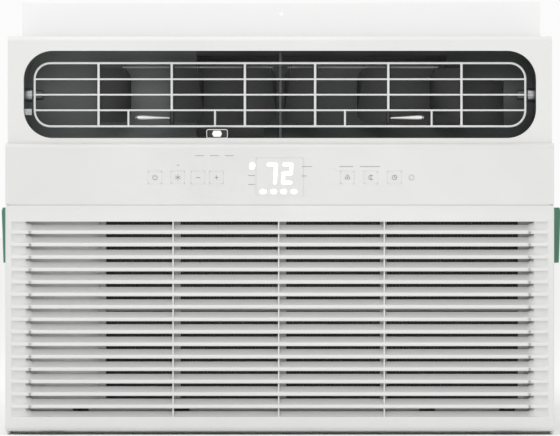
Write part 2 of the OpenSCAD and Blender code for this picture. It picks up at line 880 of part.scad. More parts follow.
module cabinet() {
    y0 = y_skirt - 10;
    y1 = y_rear - guard_d - seat;
    color(steel_white) difference() {
        block(-cw, cw, y0, y1, 3, cab_top);
        block(-cw + sheet_t, cw - sheet_t, y0 - cut, y1 + cut, 0, cab_top - sheet_t);
        screw_holes();
        for (side = [-1, 1]) {
            x0 = side > 0 ? cw - sheet_t - cut : -cw - cut;
            block(x0, x0 + sheet_t + 2 * cut, pocket_y0 - 2.2, pocket_y1 + 2.2, pocket_z0 - 2.2, pocket_z1 + 2.2);
            for (col = [0, 1]) {
                for (row = [0 : 10]) {
                    y = y1 - 150 + col * 72;
                    z = 60 + row * 22 * (cab_top - 100) / 246;
                    block(x0, x0 + sheet_t + 2 * cut, y, y + 56, z, z + 5);
                }
            }
        }
        for (col = [-2 : 2]) {
            for (row = [0 : 5]) {
                x = col * cw / 3 - 27;
                y = y1 - 120 + row * 16;
                block(x, x + 54, y, y + 5, cab_top - sheet_t - cut, cab_top + cut);
            }
        }
        rod_x(cw - sheet_t - cut, cw + cut, y_skirt + 22, 42, 7 + seat);
    }
}

module base_pan() {
    x = cw - sheet_t - seat;
    y0 = y_skirt + 2;
    y1 = y_rear - guard_d - 1;
    color(metal) difference() {
        block(-x, x, y0, y1, 0, pan_h);
        // Open at the front, where the plastic front closes it
        block(-x + 1.5, x - 1.5, y0 - cut, y1 - 1.5, 1.5, pan_h + cut);
        screw_holes();
        rod_y(cw - 70, y1 - 3, y1 + cut, 12, 6 + seat);
    }
}

module drain_plug() {
    y1 = y_rear - guard_d - 1;
    color(dark) {
        rod_y(cw - 70, y1 - 2.5, y1 + 2, 12, 6);
        rod_y(cw - 70, y1 + seat, y1 + 4, 12, 9);
    }
}

module top_rail() {
    w = cw;
    color(steel_white) difference() {
        union() {
            block(-w, w, rail_y, rail_y + rail_foot, cab_top, cab_top + rail_t);
            block(-w, w, rail_y, rail_y + rail_t, cab_top, rail_top - 1.5);
            block(-w, w, rail_y + 0.5, rail_y + 8, rail_top - rail_t, rail_top);
            rod_x(-w, w, rail_y + 1.5, rail_top - 1.5, 1.5);
        }
        rod_y(0, rail_y - cut, rail_y + rail_t + cut, rail_hole_z, rail_hole_r);
        screw_holes();
    }
}

module grip(side) {
    zb = grip_top - grip_h;
    y1 = grip_y0 + grip_len;
    mirror([side > 0 ? 0 : 1, 0, 0]) difference() {
        union() {
            block(cw + 0.01, cw + flange_t, grip_y0, y1, zb - 24, grip_top + 4);
            grip_hood(0, grip_y0, y1, grip_top, zb);
            block(cw - pocket_d, cw + 0.1, pocket_y0 - 2, pocket_y1 + 2, pocket_z0 - 2, pocket_z1 + 2);
        }
        block(cw - pocket_d + 2, cw + flange_t + cut, pocket_y0, pocket_y1, pocket_z0, pocket_z1);
        grip_hood(grip_wall, pocket_y0, pocket_y1, pocket_z1, pocket_z0 - 20);
        screw_holes();
    }
}

// The hood over the finger pocket: its face leans in slightly towards the bottom.
module grip_hood(inset, y0, y1, top, bottom) {
    out = cw + grip_out - inset;
    translate([0, y1, 0]) rotate([90, 0, 0]) linear_extrude(height = y1 - y0)
        polygon([[cw + 0.01, bottom], [out - 1.6, bottom], [out, top - 3], [out - 1, top], [cw + 0.01, top]]);
}

module handle_left() {
    color(green) grip(-1);
}

module handle_right() {
    color(green) grip(1);
}

module rear_guard() {
    y0 = y_rear - guard_d;
    z0 = pan_h + 2;
    cols = 11;
    rows = 6;
    pitch_x = (2 * cw - 56) / cols;
    pitch_z = (cab_top - z0 - 44) / rows;
    color(steel_white) difference() {
        union() {
            difference() {
                block(-cw, cw, y0, y_rear - head_h, z0, cab_top);
                block(-cw + 2, cw - 2, y0 - cut, y_rear - head_h - 2, z0 + 2, cab_top - 2);
            }
            for (side = [-1, 1]) {
                for (z = guard_zs) {
                    rod_y(side * guard_x, y0 + 1, y_rear - head_h - 1, z, 4.5);
                }
            }
            block(-cw + 30, cw - 30, y_rear - head_h - 1, y_rear, cab_top - 12, cab_top - 6);
            block(-cw + 30, cw - 30, y_rear - head_h - 1, y_rear, z0 + 6, z0 + 12);
        }
        for (i = [0 : cols - 1]) {
            for (j = [0 : rows - 1]) {
                x = -cw + 28 + (i + 0.5) * pitch_x;
                z = z0 + 22 + (j + 0.5) * pitch_z;
                block(x - pitch_x / 2 + 2.5, x + pitch_x / 2 - 2.5, y_rear - head_h - 5, y_rear + cut,
                      z - pitch_z / 2 + 2.5, z + pitch_z / 2 - 2.5);
            }
        }
        screw_holes();
    }
}

module cord_gland() {
    color(dark) difference() {
        union() {
            rod_x(cw - 5, cw + 0.1, y_skirt + 22, 42, 7);
            rod_x(cw + 0.05, cw + 5, y_skirt + 22, 42, 10);
            rod_x(cw - sheet_t - 4.5, cw - sheet_t - seat, y_skirt + 22, 42, 10);
        }
        rod_x(cw - 9, cw + 9, y_skirt + 22, 42, 4.5);
    }
}

// ---- Inside ----

module air_duct() {
    x = outlet_w / 2 - 4;
    y0 = y_bezel_back + seat;
    y1 = bulk_y - 2;
    color(foam) difference() {
        block(-x, x, y0, y1, duct_z0, duct_z1);
        block(-x + duct_wall, x - duct_wall, y0 - cut, y1 - duct_wall, duct_z0 + duct_wall, duct_z1 - duct_wall);
        block(4, scroll_r - 4, scroll_y0 + 4, scroll_y1 - 4, duct_z0 - cut, duct_z0 + duct_wall + cut);
    }
}

module blower_scroll() {
    color(foam) difference() {
        union() {
            rod_y(0, scroll_y0, scroll_y1, shaft_z, scroll_r);
            block(0, scroll_r, scroll_y0, scroll_y1, shaft_z, duct_z0 - seat);
        }
        rod_y(0, scroll_y0 + 3, scroll_y1 - 3, shaft_z, scroll_r - 4);
        block(4, scroll_r - 4, scroll_y0 + 3, scroll_y1 - 3, shaft_z, duct_z0 + cut);
        rod_y(0, scroll_y0 - cut, scroll_y0 + 4, shaft_z, blower_r - 8);
        rod_y(0, scroll_y1 - 4, scroll_y1 + cut, shaft_z, 16);
    }
}

module blower_wheel() {
    y0 = scroll_y0 + 7;
    y1 = scroll_y1 - 7;
    color(pale) difference() {
        union() {
            rod_y(0, y1 - 2, y1, shaft_z, blower_r);
            rod_y(0, y1 - 28, y1, shaft_z, 12);
            difference() {
                rod_y(0, y0, y0 + 4, shaft_z, blower_r);
                rod_y(0, y0 - cut, y0 + 4 + cut, shaft_z, blower_r - 12);
            }
            for (i = [0 : blower_blades - 1]) {
                translate([0, 0, shaft_z]) rotate([0, i * 360 / blower_blades, 0])
                    translate([blower_r - 7, 0, 0]) rotate([0, 35, 0])
                        block(-6, 5, y0 + 1, y1 - 1, -0.6, 0.6);
            }
        }
        rod_y(0, y0 - cut, y1 + cut, shaft_z, shaft_r + 0.02);
    }
}

module bulkhead() {
    x = cw - sheet_t - 1;
    color(metal) difference() {
        union() {
            block(-x, x, bulk_y, bulk_y + bulk_t, 2, cab_top - sheet_t - 1);
            for (side = [-1, 1]) {
                vent_ear(vent_x + side * (vent_w / 2 + 1.7));
            }
        }
        rod_x(vent_x - vent_w, vent_x + vent_w, bulk_y + bulk_t + 3, vent_z, 1.6 + run_gap);
        rod_y(0, bulk_y - cut, bulk_y + bulk_t + cut, shaft_z, 16);
        block(-cw + 2, -cw + 30, bulk_y - cut, bulk_y + bulk_t + cut, 30, 46);
        block(-cw + 8, -cw + 32, bulk_y - cut, bulk_y + bulk_t + cut, door_h + 20, door_h + 42);
        block(vent_x - vent_w / 2 + 4, vent_x + vent_w / 2 - 4, bulk_y - cut, bulk_y + bulk_t + cut,
              vent_z - vent_h + 4, vent_z - 6);
        for (side = [-1, 1]) {
            // Room for the base pan's wall and for the finger pockets
            block(side * x - 3, side * x + 3, bulk_y - cut, bulk_y + bulk_t + cut, 0, pan_h + 3);
            block(side * (cw - pocket_d / 2) - pocket_d / 2 - 1, side * (cw - pocket_d / 2) + pocket_d / 2 + 1,
                  bulk_y - cut, bulk_y + bulk_t + cut, pocket_z0 - 3, pocket_z1 + 3);
        }
    }
}

// Ear that holds one end of the vent door's pin.
module vent_ear(x) {
    block(x - 1, x + 1, bulk_y + 0.5, bulk_y + bulk_t + 3, vent_z - 3.5, vent_z + 3.5);
    rod_x(x - 1, x + 1, bulk_y + bulk_t + 3, vent_z, 3.5);
}

module fan_motor() {
    color(metal) difference() {
        union() {
            rod_y(0, motor_y0, motor_y0 + motor_l, shaft_z, motor_r);
            rod_y(0, motor_y0 - 8, motor_y0 + motor_l + 8, shaft_z, 17);
        }
        rod_y(0, motor_y0 - 20, motor_y0 + motor_l + 20, shaft_z, shaft_r + run_gap);
    }
}

module motor_bracket() {
    w = motor_r + 8;
    y0 = motor_y0 + 20;
    y1 = motor_y0 + motor_l - 20;
    color(metal) difference() {
        union() {
            block(-w, w, y0, y1, 1.5 + seat, 6);
            block(-w, -w + 3, y0, y1, 4, shaft_z);
            block(w - 3, w, y0, y1, 4, shaft_z);
            block(-w, w, y0, y1, shaft_z - motor_r - 9, shaft_z - motor_r + 14);
        }
        rod_y(0, y0 - cut, y1 + cut, shaft_z, motor_r + 0.05);
        block(-w + 3, w - 3, y0 - cut, y1 + cut, 6, shaft_z - motor_r - 9);
    }
}

module motor_shaft() {
    color(metal) rod_y(0, shaft_y0, shaft_y1, shaft_z, shaft_r);
}

module condenser_fan() {
    color(dark) difference() {
        union() {
            rod_y(0, fan_y0 + 4, fan_y1, shaft_z, 28);
            difference() {
                rod_y(0, fan_y0 + 16, fan_y1 - 14, shaft_z, fan_r);
                rod_y(0, fan_y0, fan_y1, shaft_z, fan_r - 2.5);
            }
            for (i = [0 : fan_blades - 1]) {
                translate([0, 0, shaft_z]) rotate([0, i * 360 / fan_blades, 0]) intersection() {
                    translate([0, (fan_y0 + fan_y1) / 2, 0]) rotate([-27, 0, 0])
                        block(20, fan_r, -0.9, 0.9, -42, 42);
                    rod_y(0, fan_y0, fan_y1, 0, fan_r - 1);
                }
            }
        }
        rod_y(0, fan_y0 - cut, fan_y1 + cut, shaft_z, shaft_r + 0.02);
    }
}

module fan_shroud() {
    x = cw - sheet_t - 2;
    color(dark) difference() {
        union() {
            block(-x, x, shroud_y1 - 2.5, shroud_y1, 2, cab_top - sheet_t - 1);
            rod_y(0, shroud_y1 - shroud_d, shroud_y1, shaft_z, fan_r + 7);
        }
        rod_y(0, shroud_y1 - shroud_d - cut, shroud_y1 + cut, shaft_z, fan_r + 4.5);
        block(-x - cut, -x + 16, shroud_y1 - 4, shroud_y1 + cut, 30, 50);
        block(-x - cut, -x + 16, shroud_y1 - 4, shroud_y1 + cut, door_h + 36, door_h + 60);
        for (side = [-1, 1]) {
            block(side * x - 3, side * x + 3, shroud_y1 - 4, shroud_y1 + cut, 0, pan_h + 3);
        }
    }
}

module coil(x0, x1, y0, y1, z0, z1) {
    block(x0 + 1.4, x1 - 1.4, y0 + 1, y1 - 1, z0 + 2, z1 - 2);
    block(x0, x0 + 1.5, y0, y1, z0, z1);
    block(x1 - 1.5, x1, y0, y1, z0, z1);
}

// Return bends: short tubes that turn the refrigerant round at the coil's ends.
module bends(x0, x1, y, z0, z1, count, r) {
    pitch = (z1 - z0) / (2 * count);
    for (side = [0, 1]) {
        for (i = [0 : count - 1 - side]) {
            z = z0 + (2 * i + 0.5 + side) * pitch;
            a = side == 0 ? x0 - 0.1 : x1 + 0.1;
            b = side == 0 ? x0 - 11 : x1 + 11;
            pipe_run([[a, y, z], [b, y, z], [b, y, z + pitch], [a, y, z + pitch]], r);
        }
    }
}

cond_x0 = -cw + 32;
cond_x1 = cw - 24;
cond_z0 = 8;
cond_z1 = cab_top - 12;

module condenser_coil() {
    color(metal) coil(cond_x0, cond_x1, cond_y0, cond_y1, cond_z0, cond_z1);
}

module condenser_bends() {
    color(copper) bends(cond_x0, cond_x1, (cond_y0 + cond_y1) / 2, cond_z0 + 12, cond_z1 - 12, 5, 4);
}

module evaporator_coil() {
    color(metal) coil(evap_x0, evap_x1, evap_y, evap_y + evaporator_d, evap_z0, evap_z1);
}

module evaporator_bends() {
    color(copper)
        bends(evap_x0, evap_x1, evap_y + evaporator_d / 2, evap_z0 + 16, evap_z1 - 16, 3, 4);
}

module compressor() {
    z1 = comp_z0 + comp_h;
    color(dark) difference() {
        union() {
            intersection() {
                rod_z(comp_x, comp_y, comp_z0, z1, comp_r);
                translate([comp_x, comp_y, z1 - 95]) sphere(r = 95);
                translate([comp_x, comp_y, comp_z0 + 95]) sphere(r = 95);
            }
            rod_z(comp_x, comp_y, comp_z0 - 2, comp_z0 + 22, 46);
            block(comp_x - 56, comp_x + 56, comp_y - 56, comp_y + 56, comp_z0 - 2, comp_z0 + 1);
        }
        // Sockets that the pipes are brazed into
        rod_z(comp_x, comp_y + 36, z1 - 14, z1 + cut, pipe_r);
        rod_z(comp_x, comp_y - 36, z1 - 14, z1 + cut, thin_pipe_r);
    }
}

module compressor_mounts() {
    color(dark) for (sx = [-1, 1]) {
        for (sy = [-1, 1]) {
            rod_z(comp_x + sx * 47, comp_y + sy * 47, 1.5, comp_z0 - 2, 9);
        }
    }
}

module terminal_cover() {
    color(dark)
        rod_z(comp_x, comp_y, comp_z0 + comp_h + 0.1, comp_z0 + comp_h + 22, 22);
}

module suction_pipe() {
    x = -cw + 20;
    y = evap_y + evaporator_d / 2;
    z = door_h + 30;
    color(copper)
        pipe_run([[comp_x, comp_y + 36, comp_z0 + comp_h - 14], [comp_x, comp_y + 36, z], [x, comp_y + 36, z],
                  [x, y, z], [x, y, evap_z1 - 30]], pipe_r);
}

module discharge_pipe() {
    x = cond_x0 - 20;
    z = door_h + 48;
    color(copper)
        pipe_run([[comp_x, comp_y - 36, comp_z0 + comp_h - 14], [comp_x, comp_y - 36, z], [x, comp_y - 36, z],
                  [x, (cond_y0 + cond_y1) / 2, z]], thin_pipe_r);
}

module liquid_line() {
    x = cond_x0 - 20;
    color(copper)
        pipe_run([[x, (cond_y0 + cond_y1) / 2, 60], [x, (cond_y0 + cond_y1) / 2, 38],
                  [x, evap_y + evaporator_d / 2, 38], [evap_x0 - 14, evap_y + evaporator_d / 2, 38]], line_r);
}

box_x0 = scroll_r + 26;
box_x1 = cw - pocket_d - 8;
can_r = min(22, (box_x1 - box_x0) / 2 - 3);

module control_box() {
    color(metal) difference() {
        block(box_x0, box_x1, scroll_y0 + 4, bulk_y - 10, 50, 210);
        block(box_x0 + 1.5, box_x1 - 1.5, scroll_y0 + 5.5, bulk_y - 10 + cut, 51.5, 208.5);
    }
}

module run_capacitor() {
    color(metal) {
        rod_z((box_x0 + box_x1) / 2, scroll_y0 + 45, 51.6, 135, can_r);
        rod_z((box_x0 + box_x1) / 2, scroll_y0 + 45, 134, 138, can_r - 3);
    }
}

module temp_sensor() {
    color(copper) rod_x(evap_x1 - 120, evap_x1 - 80, evap_y - 3.2, evap_z1 - 30, 3);
}

front_frame();
control_band();
display_window();
key_power();
key_mode();
key_temp_down();
key_temp_up();
key_fan();
key_sleep();
key_timer();
key_board();
intake_grille();
filter_frame();
filter_mesh();
outlet_bezel();
director_ring();
director_pivots();
friction_clip();
vane_left_outer();
vane_left_lead();
vane_left_inner();
vane_right_inner();
vane_right_lead();
vane_right_outer();
tie_bar_left();
tie_bar_right();
vent_bracket();
vent_knob();
vent_door();
cabinet();
base_pan();
drain_plug();
top_rail();
handle_left();
handle_right();
rear_guard();
cord_gland();
case_screws();
air_duct();
blower_scroll();
blower_wheel();
bulkhead();
fan_motor();
motor_bracket();
motor_shaft();
condenser_fan();
fan_shroud();
condenser_coil();
condenser_bends();
evaporator_coil();
evaporator_bends();
compressor();
compressor_mounts();
terminal_cover();
suction_pipe();
discharge_pipe();
liquid_line();
control_box();
run_capacitor();
temp_sensor();
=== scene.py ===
# %% [markdown]
# # A window air conditioner, dressed piece by piece
# The solid model of this room unit is already exact: every panel, vane and screw sits where it belongs
# and moves with its own body. This script gives it looks. It keeps each solid whose shape is right and
# gives it a finish, and builds a finer piece where the real one has detail that a plain solid lacks,
# such as louvres with scooped ends, a wire air director, coil fins and a woven dust mesh.

# %% Load the solid model
import math

import bmesh
import bpy
from mathutils import Matrix, Vector


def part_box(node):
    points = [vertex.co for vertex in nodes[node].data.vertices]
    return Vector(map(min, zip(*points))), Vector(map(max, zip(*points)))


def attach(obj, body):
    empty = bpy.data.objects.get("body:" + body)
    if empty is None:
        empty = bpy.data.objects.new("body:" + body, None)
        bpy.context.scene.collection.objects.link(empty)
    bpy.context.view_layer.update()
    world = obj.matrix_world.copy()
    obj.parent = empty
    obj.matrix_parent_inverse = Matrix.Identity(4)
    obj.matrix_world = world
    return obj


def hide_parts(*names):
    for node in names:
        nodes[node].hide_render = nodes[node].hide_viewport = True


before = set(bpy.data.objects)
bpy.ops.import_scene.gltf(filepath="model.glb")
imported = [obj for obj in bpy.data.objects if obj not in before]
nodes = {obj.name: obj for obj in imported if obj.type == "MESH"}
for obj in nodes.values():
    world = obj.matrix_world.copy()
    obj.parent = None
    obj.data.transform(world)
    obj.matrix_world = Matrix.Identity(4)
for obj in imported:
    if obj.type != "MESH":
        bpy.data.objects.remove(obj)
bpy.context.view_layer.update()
MM = 0.001

# %% [markdown]
# ## Reading sizes from the solids
# Nothing is placed by eye. The corners of a few solids give every level that the finer pieces need: the
# front plane, the grille's top and foot, the middle of the outlet and the line it tilts about.

# %% Levels taken from the solids
grille_lo, grille_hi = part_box("intake_grille")
band_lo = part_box("control_band")[0]
ring_lo, ring_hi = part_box("director_ring")
window_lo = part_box("display_window")[0]
front_y = grille_lo.y
half_width = grille_hi.x
outlet_z = (ring_lo.z + ring_hi.z) / 2
print("front plane at", round(front_y, 4), "and outlet middle at", round(outlet_z, 4))

# %% [markdown]
# ## Small helpers
# Colours are written as the hex values a paint chart would give and turned into linear light by one
# function. One more function adds a node with its settings and links, for materials and for Geometry
# Nodes alike. A few short ones name the patterns that finishes share (noise, two tones, a shifted range
# and a relief), so that each finish below reads as a list of what it is made of.


# %% Colour and node helpers
def linear(hex_colour):
    """An sRGB hex colour as the linear RGBA that shaders use."""
    parts = [int(hex_colour[i : i + 2], 16) / 255 for i in (1, 3, 5)]
    curve = [c / 12.92 if c <= 0.04045 else ((c + 0.055) / 1.055) ** 2.4 for c in parts]
    return (*curve, 1.0)


def feed(tree, node, inputs):
    """Gives each named input of a node its value, or links it from a socket."""
    for name, value in inputs.items():
        if isinstance(value, bpy.types.NodeSocket):
            tree.links.new(value, node.inputs[name])
        else:
            node.inputs[name].default_value = value


def add(tree, kind, inputs=None, **settings):
    """Adds one node. Settings are its options; inputs are values or the sockets to link from."""
    node = tree.nodes.new(kind)
    for name, value in settings.items():
        setattr(node, name, value)
    feed(tree, node, inputs or {})
    return node


def noise(tree, place, scale, detail=2.0, roughness=0.5):
    """Soft noise, with its scale in cells to the metre."""
    inputs = {"Vector": place, "Scale": scale, "Detail": detail, "Roughness": roughness}
    return add(tree, "ShaderNodeTexNoise", inputs).outputs["Fac"]


def two_tones(tree, share, first, second, low=0.0, high=1.0):
    """A colour that goes from the first hex value to the second as the share goes from low to high."""
    ramp = add(tree, "ShaderNodeValToRGB", {"Fac": share})
    for stop, place, colour in ((0, low, first), (1, high, second)):
        ramp.color_ramp.elements[stop].position = place
        ramp.color_ramp.elements[stop].color = linear(colour)
    return ramp.outputs["Color"]


def shifted(tree, value, to_low, to_high, low=0.0, high=1.0):
    """A value moved from one range to another."""
    inputs = {"Value": value, "From Min": low, "From Max": high, "To Min": to_low, "To Max": to_high}
    return add(tree, "ShaderNodeMapRange", inputs).outputs["Result"]


def relief(tree, height, strength, high_mm):
    """The surface normal of a pattern pressed a little way into the surface."""
    bump = add(tree, "ShaderNodeBump", {"Height": height, "Strength": strength, "Distance": high_mm * MM})
    return bump.outputs["Normal"]


def new_finish(name):
    """An empty material with its output, its shader and the object coordinates of the surface."""
    finish = bpy.data.materials.new(name)
    finish.use_nodes = True
    tree = finish.node_tree
    tree.nodes.clear()
    shader = add(tree, "ShaderNodeBsdfPrincipled")
    add(tree, "ShaderNodeOutputMaterial", {"Surface": shader.outputs["BSDF"]})
    place = add(tree, "ShaderNodeTexCoord").outputs["Object"]
    return finish, tree, shader, place


print("helpers ready; white ABS is", [round(c, 3) for c in linear("#D3D3D2")[:3]])

# %% [markdown]
# ## Moulded plastics
# The front is ABS, moulded in a tool whose walls were spark eroded, which leaves a very fine even grain.
# The eye reads that as a soft satin with no mirror in it. The grain is finer than a render can hold, so
# it is drawn at about a millimetre, with almost no height. A slow drift of tone across the panel stands
# for resin flow and handling. The same recipe serves the other plastics, with its own colour and gloss.


# %% Moulded plastic
def moulded(name, base, drift, rough, grain_mm=0.9, grain_height=0.02):
    """A moulded plastic: its tone and gloss drift a little, over a very fine grain."""
    finish, tree, shader, place = new_finish(name)
    flow = noise(tree, place, 9.0, 3.0)
    wipe = noise(tree, place, 30.0, 5.0)
    grain = noise(tree, place, 1 / (grain_mm * MM))
    feed(tree, shader, {
        "Base Color": two_tones(tree, flow, drift, base, 0.35, 0.65), "IOR": 1.53,
        "Roughness": shifted(tree, wipe, rough - 0.05, rough + 0.05, 0.3, 0.7),
        "Normal": relief(tree, grain, 0.5, grain_height),
    })
    return finish


white_abs = moulded("white_ABS_spark_eroded", "#D3D3D2", "#D0D0CF", 0.42)
fascia_abs = moulded("white_ABS_control_band", "#CFCFCE", "#CCCCCB", 0.38)
key_abs = moulded("white_ABS_keys", "#CFCFCE", "#CCCCCB", 0.40)
grille_abs = moulded("white_ABS_grille", "#D3D3D2", "#D0D0CF", 0.40)
duct_dark = moulded("dark_grey_HIPS_duct_lining", "#8A8C8B", "#7C7E7D", 0.6, 1.2, 0.04)
bush_black = moulded("black_acetal_bushes", "#2A2B2B", "#222323", 0.4)
duct_grey = moulded("grey_HIPS_outlet_mouth", "#6B6E6D", "#616463", 0.45, 1.2, 0.02)
# Where the painted shade on the outlet mouth begins, in metres across
SHADE_EDGE = -0.075
COLOUR_A, COLOUR_B, MIXED = 6, 7, 2  # places of the colour sockets on a Mix node


def paint_shade_right_of_line(finish, shade_colour, edge_x):
    """Right of one upright line the mouth's colour is darkened to a painted shade, where the open air duct
    behind it gives back less light.
    """
    tree = finish.node_tree
    shader = next(node for node in tree.nodes if node.type == "BSDF_PRINCIPLED")
    place = next(node for node in tree.nodes if node.type == "TEX_COORD").outputs["Object"]
    across = add(tree, "ShaderNodeSeparateXYZ", {"Vector": place})
    shaded_side = add(tree, "ShaderNodeMath", {0: across.outputs["X"], 1: edge_x}, operation="GREATER_THAN")
    unshaded_colour = shader.inputs["Base Color"].links[0].from_socket
    inputs = {0: shaded_side.outputs["Value"], COLOUR_A: unshaded_colour, COLOUR_B: linear(shade_colour)}
    both = add(tree, "ShaderNodeMix", inputs, data_type="RGBA")
    tree.links.new(both.outputs[MIXED], shader.inputs["Base Color"])


# Painted shade: the outlet mouth is coloured darker right of this line
paint_shade_right_of_line(duct_grey, "#474A49", SHADE_EDGE)
acetal_white = moulded("pale_acetal_director", "#D6D7D6", "#CECFCE", 0.34, 1.5, 0.01)
vane_black = moulded("charcoal_polypropylene_vanes", "#202121", "#1A1B1B", 0.48, 1.2, 0.03)
link_grey = moulded("grey_polypropylene_tie_bars", "#808281", "#757776", 0.45)
lever_grey = moulded("pale_polypropylene_lever_tip", "#E2E3E2", "#DBDCDB", 0.40)
knob_white = moulded("white_ABS_knob", "#F0F0EF", "#EAEAE9", 0.30)
bracket_black = moulded("black_ABS_bracket", "#1C1C1D", "#161617", 0.45)
filter_grey = moulded("grey_polypropylene_filter_frame", "#B3B5B4", "#A6A8A7", 0.50)
grip_green = moulded("green_polypropylene_grips", "#4A826A", "#3F7059", 0.46, 1.2, 0.03)
fan_black = moulded("black_glass_filled_nylon_fan", "#232424", "#1B1C1C", 0.52, 1.4, 0.05)
blower_grey = moulded("grey_ABS_blower", "#A9ABAA", "#9B9D9C", 0.48)
damper_grey = moulded("grey_ABS_damper", "#BFC1C0", "#B4B6B5", 0.46)
cap_black = moulded("black_phenolic_terminal_cover", "#1B1B1C", "#151516", 0.40)
print("moulded plastics made")

# %% [markdown]
# ## Rubber and foam
# Grommets, the drain plug and the compressor's feet are EPDM rubber: near black, with a chalky bloom that
# scatters light. The blower's scroll is expanded polystyrene, whose beads show as cells about 3 mm
# across, so a Voronoi pattern draws their edges as shallow grooves.

# %% EPDM rubber and bead foam
rubber, tree, shader, place = new_finish("black_EPDM_rubber")
bloom = noise(tree, place, 60.0, 6.0, 0.7)
feed(tree, shader, {
    "Base Color": two_tones(tree, bloom, "#1A1A1A", "#333332"), "Roughness": 0.78, "IOR": 1.52,
    "Normal": relief(tree, bloom, 0.4, 0.1),
})

BEAD = 3.0
foam, tree, shader, place = new_finish("white_expanded_polystyrene")
inputs = {"Vector": place, "Scale": 1 / (BEAD * MM)}
beads = add(tree, "ShaderNodeTexVoronoi", inputs, feature="DISTANCE_TO_EDGE").outputs["Distance"]
feed(tree, shader, {
    "Base Color": two_tones(tree, beads, "#9A9C9A", "#DCDDDA", 0.0, 0.12), "Roughness": 0.8, "IOR": 1.5,
    "Normal": relief(tree, beads, 0.6, 0.3),
})
print("rubber and foam made")

# %% [markdown]
# ## Metals
# The cabinet is steel with a baked powder coat, which shows a faint orange peel about 2 mm across. The
# base pan and bulkhead are hot-dip galvanised, where zinc crystals (spangle) some 6 mm across each catch
# the light differently. Fins are raw aluminium, tubes are copper that has begun to tarnish, and the
# director's pivots and the screws are plated.


# %% Painted and plated metals
PEEL = 2.0
SPANGLE = 6.0


def powder_coat(name, base, drift):
    """Baked powder coat, with a faint orange peel."""
    finish, tree, shader, place = new_finish(name)
    cloud = noise(tree, place, 7.0)
    peel = noise(tree, place, 1 / (PEEL * MM), 1.0)
    feed(tree, shader, {
        "Base Color": two_tones(tree, cloud, drift, base), "Normal": relief(tree, peel, 0.35, 0.05),
        "Roughness": 0.36, "IOR": 1.5, "Coat Weight": 0.15, "Coat Roughness": 0.25,
    })
    return finish


def drawn_metal(name, base, tarnish, rough, along, scale_mm):
    """Bare metal whose marks run the way it was drawn, rolled or brushed."""
    finish, tree, shader, place = new_finish(name)
    stretch = add(tree, "ShaderNodeMapping", {"Vector": place, "Scale": along})
    marks = noise(tree, stretch.outputs["Vector"], 1 / (scale_mm * MM), 6.0, 0.65)
    feed(tree, shader, {
        "Base Color": two_tones(tree, marks, tarnish, base, 0.25, 0.75), "Metallic": 1.0,
        "Roughness": shifted(tree, marks, rough + 0.1, rough - 0.1),
    })
    return finish


cabinet_paint = powder_coat("white_powder_coated_steel", "#E2E3E2", "#DDDEDD")
# The window rail is the same paint in a brighter white
rail_paint = powder_coat("bright_white_painted_rail", "#E2E2E2", "#DFDFDF")
nickel = drawn_metal("nickel_plated_steel_pivots", "#A2A3A5", "#848688", 0.36, (1, 4, 4), 3.0)
zinc_plate = drawn_metal("zinc_plated_steel_screws", "#C4C7CA", "#A2A5A8", 0.32, (1, 1, 1), 2.0)
motor_zinc = drawn_metal("zinc_plated_motor_steel", "#A9ACAE", "#868A8D", 0.38, (1, 5, 1), 6.0)
fin_aluminium = drawn_metal("raw_aluminium_fins", "#C9CCCE", "#A7ABAE", 0.34, (1, 1, 6), 5.0)
copper = drawn_metal("tarnished_copper_tube", "#C07A55", "#8A5238", 0.30, (2, 2, 2), 12.0)
can_aluminium = drawn_metal("drawn_aluminium_can", "#BFC2C5", "#9DA1A4", 0.30, (6, 6, 1), 4.0)

zinc_sheet, tree, shader, place = new_finish("galvanised_steel_sheet")
crystals = add(tree, "ShaderNodeTexVoronoi", {"Vector": place, "Scale": 1 / (SPANGLE * MM)})
grey = add(tree, "ShaderNodeSeparateColor", {"Color": crystals.outputs["Color"]}).outputs
feed(tree, shader, {
    "Base Color": two_tones(tree, grey["Red"], "#8E9294", "#B9BDBF"), "Metallic": 1.0,
    "Roughness": shifted(tree, grey["Green"], 0.34, 0.52),
})
print("metals made")

# %% [markdown]
# ## Enamel, circuit board, ink and light
# The compressor shell has thick black enamel with runs in it. The keypad board is glass-epoxy laminate
# under a green mask. Key symbols are pad-printed in grey ink that sits on the plastic, and the lit digits
# are diffuse light coming through the window, so they are an emission with a soft cast and no pattern of
# their own except the slight fall-off of a real lamp.


# %% Enamel, laminate, ink and lit digits
def printed_ink(name, colour):
    """Thin ink that breaks up a little towards a paler grey."""
    finish, tree, shader, place = new_finish(name)
    edge = noise(tree, place, 900.0, 3.0)
    feed(tree, shader, {"Base Color": two_tones(tree, edge, colour, "#8E908F"), "Roughness": 0.6})
    return finish


enamel, tree, shader, place = new_finish("black_enamel_compressor")
runs = noise(tree, place, 45.0, 3.0)
feed(tree, shader, {
    "Base Color": two_tones(tree, runs, "#121212", "#232323"), "Normal": relief(tree, runs, 0.3, 0.4),
    "Roughness": 0.25, "Coat Weight": 0.5,
})

board, tree, shader, place = new_finish("green_glass_epoxy_board")
tracks = add(tree, "ShaderNodeTexBrick", {
    "Vector": place, "Scale": 120.0, "Color1": linear("#1E6A3C"), "Color2": linear("#226F42"),
    "Mortar": linear("#3C8A58"), "Mortar Size": 0.03,
})
feed(tree, shader, {"Base Color": tracks.outputs["Color"], "Roughness": 0.35})

lit, tree, shader, place = new_finish("lit_white_digits")
glow = two_tones(tree, noise(tree, place, 80.0), "#F6FAFF", "#FFFFFF")
feed(tree, shader, {"Emission Color": glow, "Base Color": glow, "Emission Strength": 1.0, "Roughness": 0.5})

ink = printed_ink("grey_pad_printed_ink", "#5B5E5D")
print("enamel, board, ink and lamp made")

# %% [markdown]
# ## A finish for every solid
# Each solid takes its finish through its own material slots. A moulded or folded part never has a knife
# edge, and the thin highlight along a rounded one is what makes it look real, so the solids that stay in
# view are welded and bevelled by modifiers, which leave the solid's own mesh untouched.


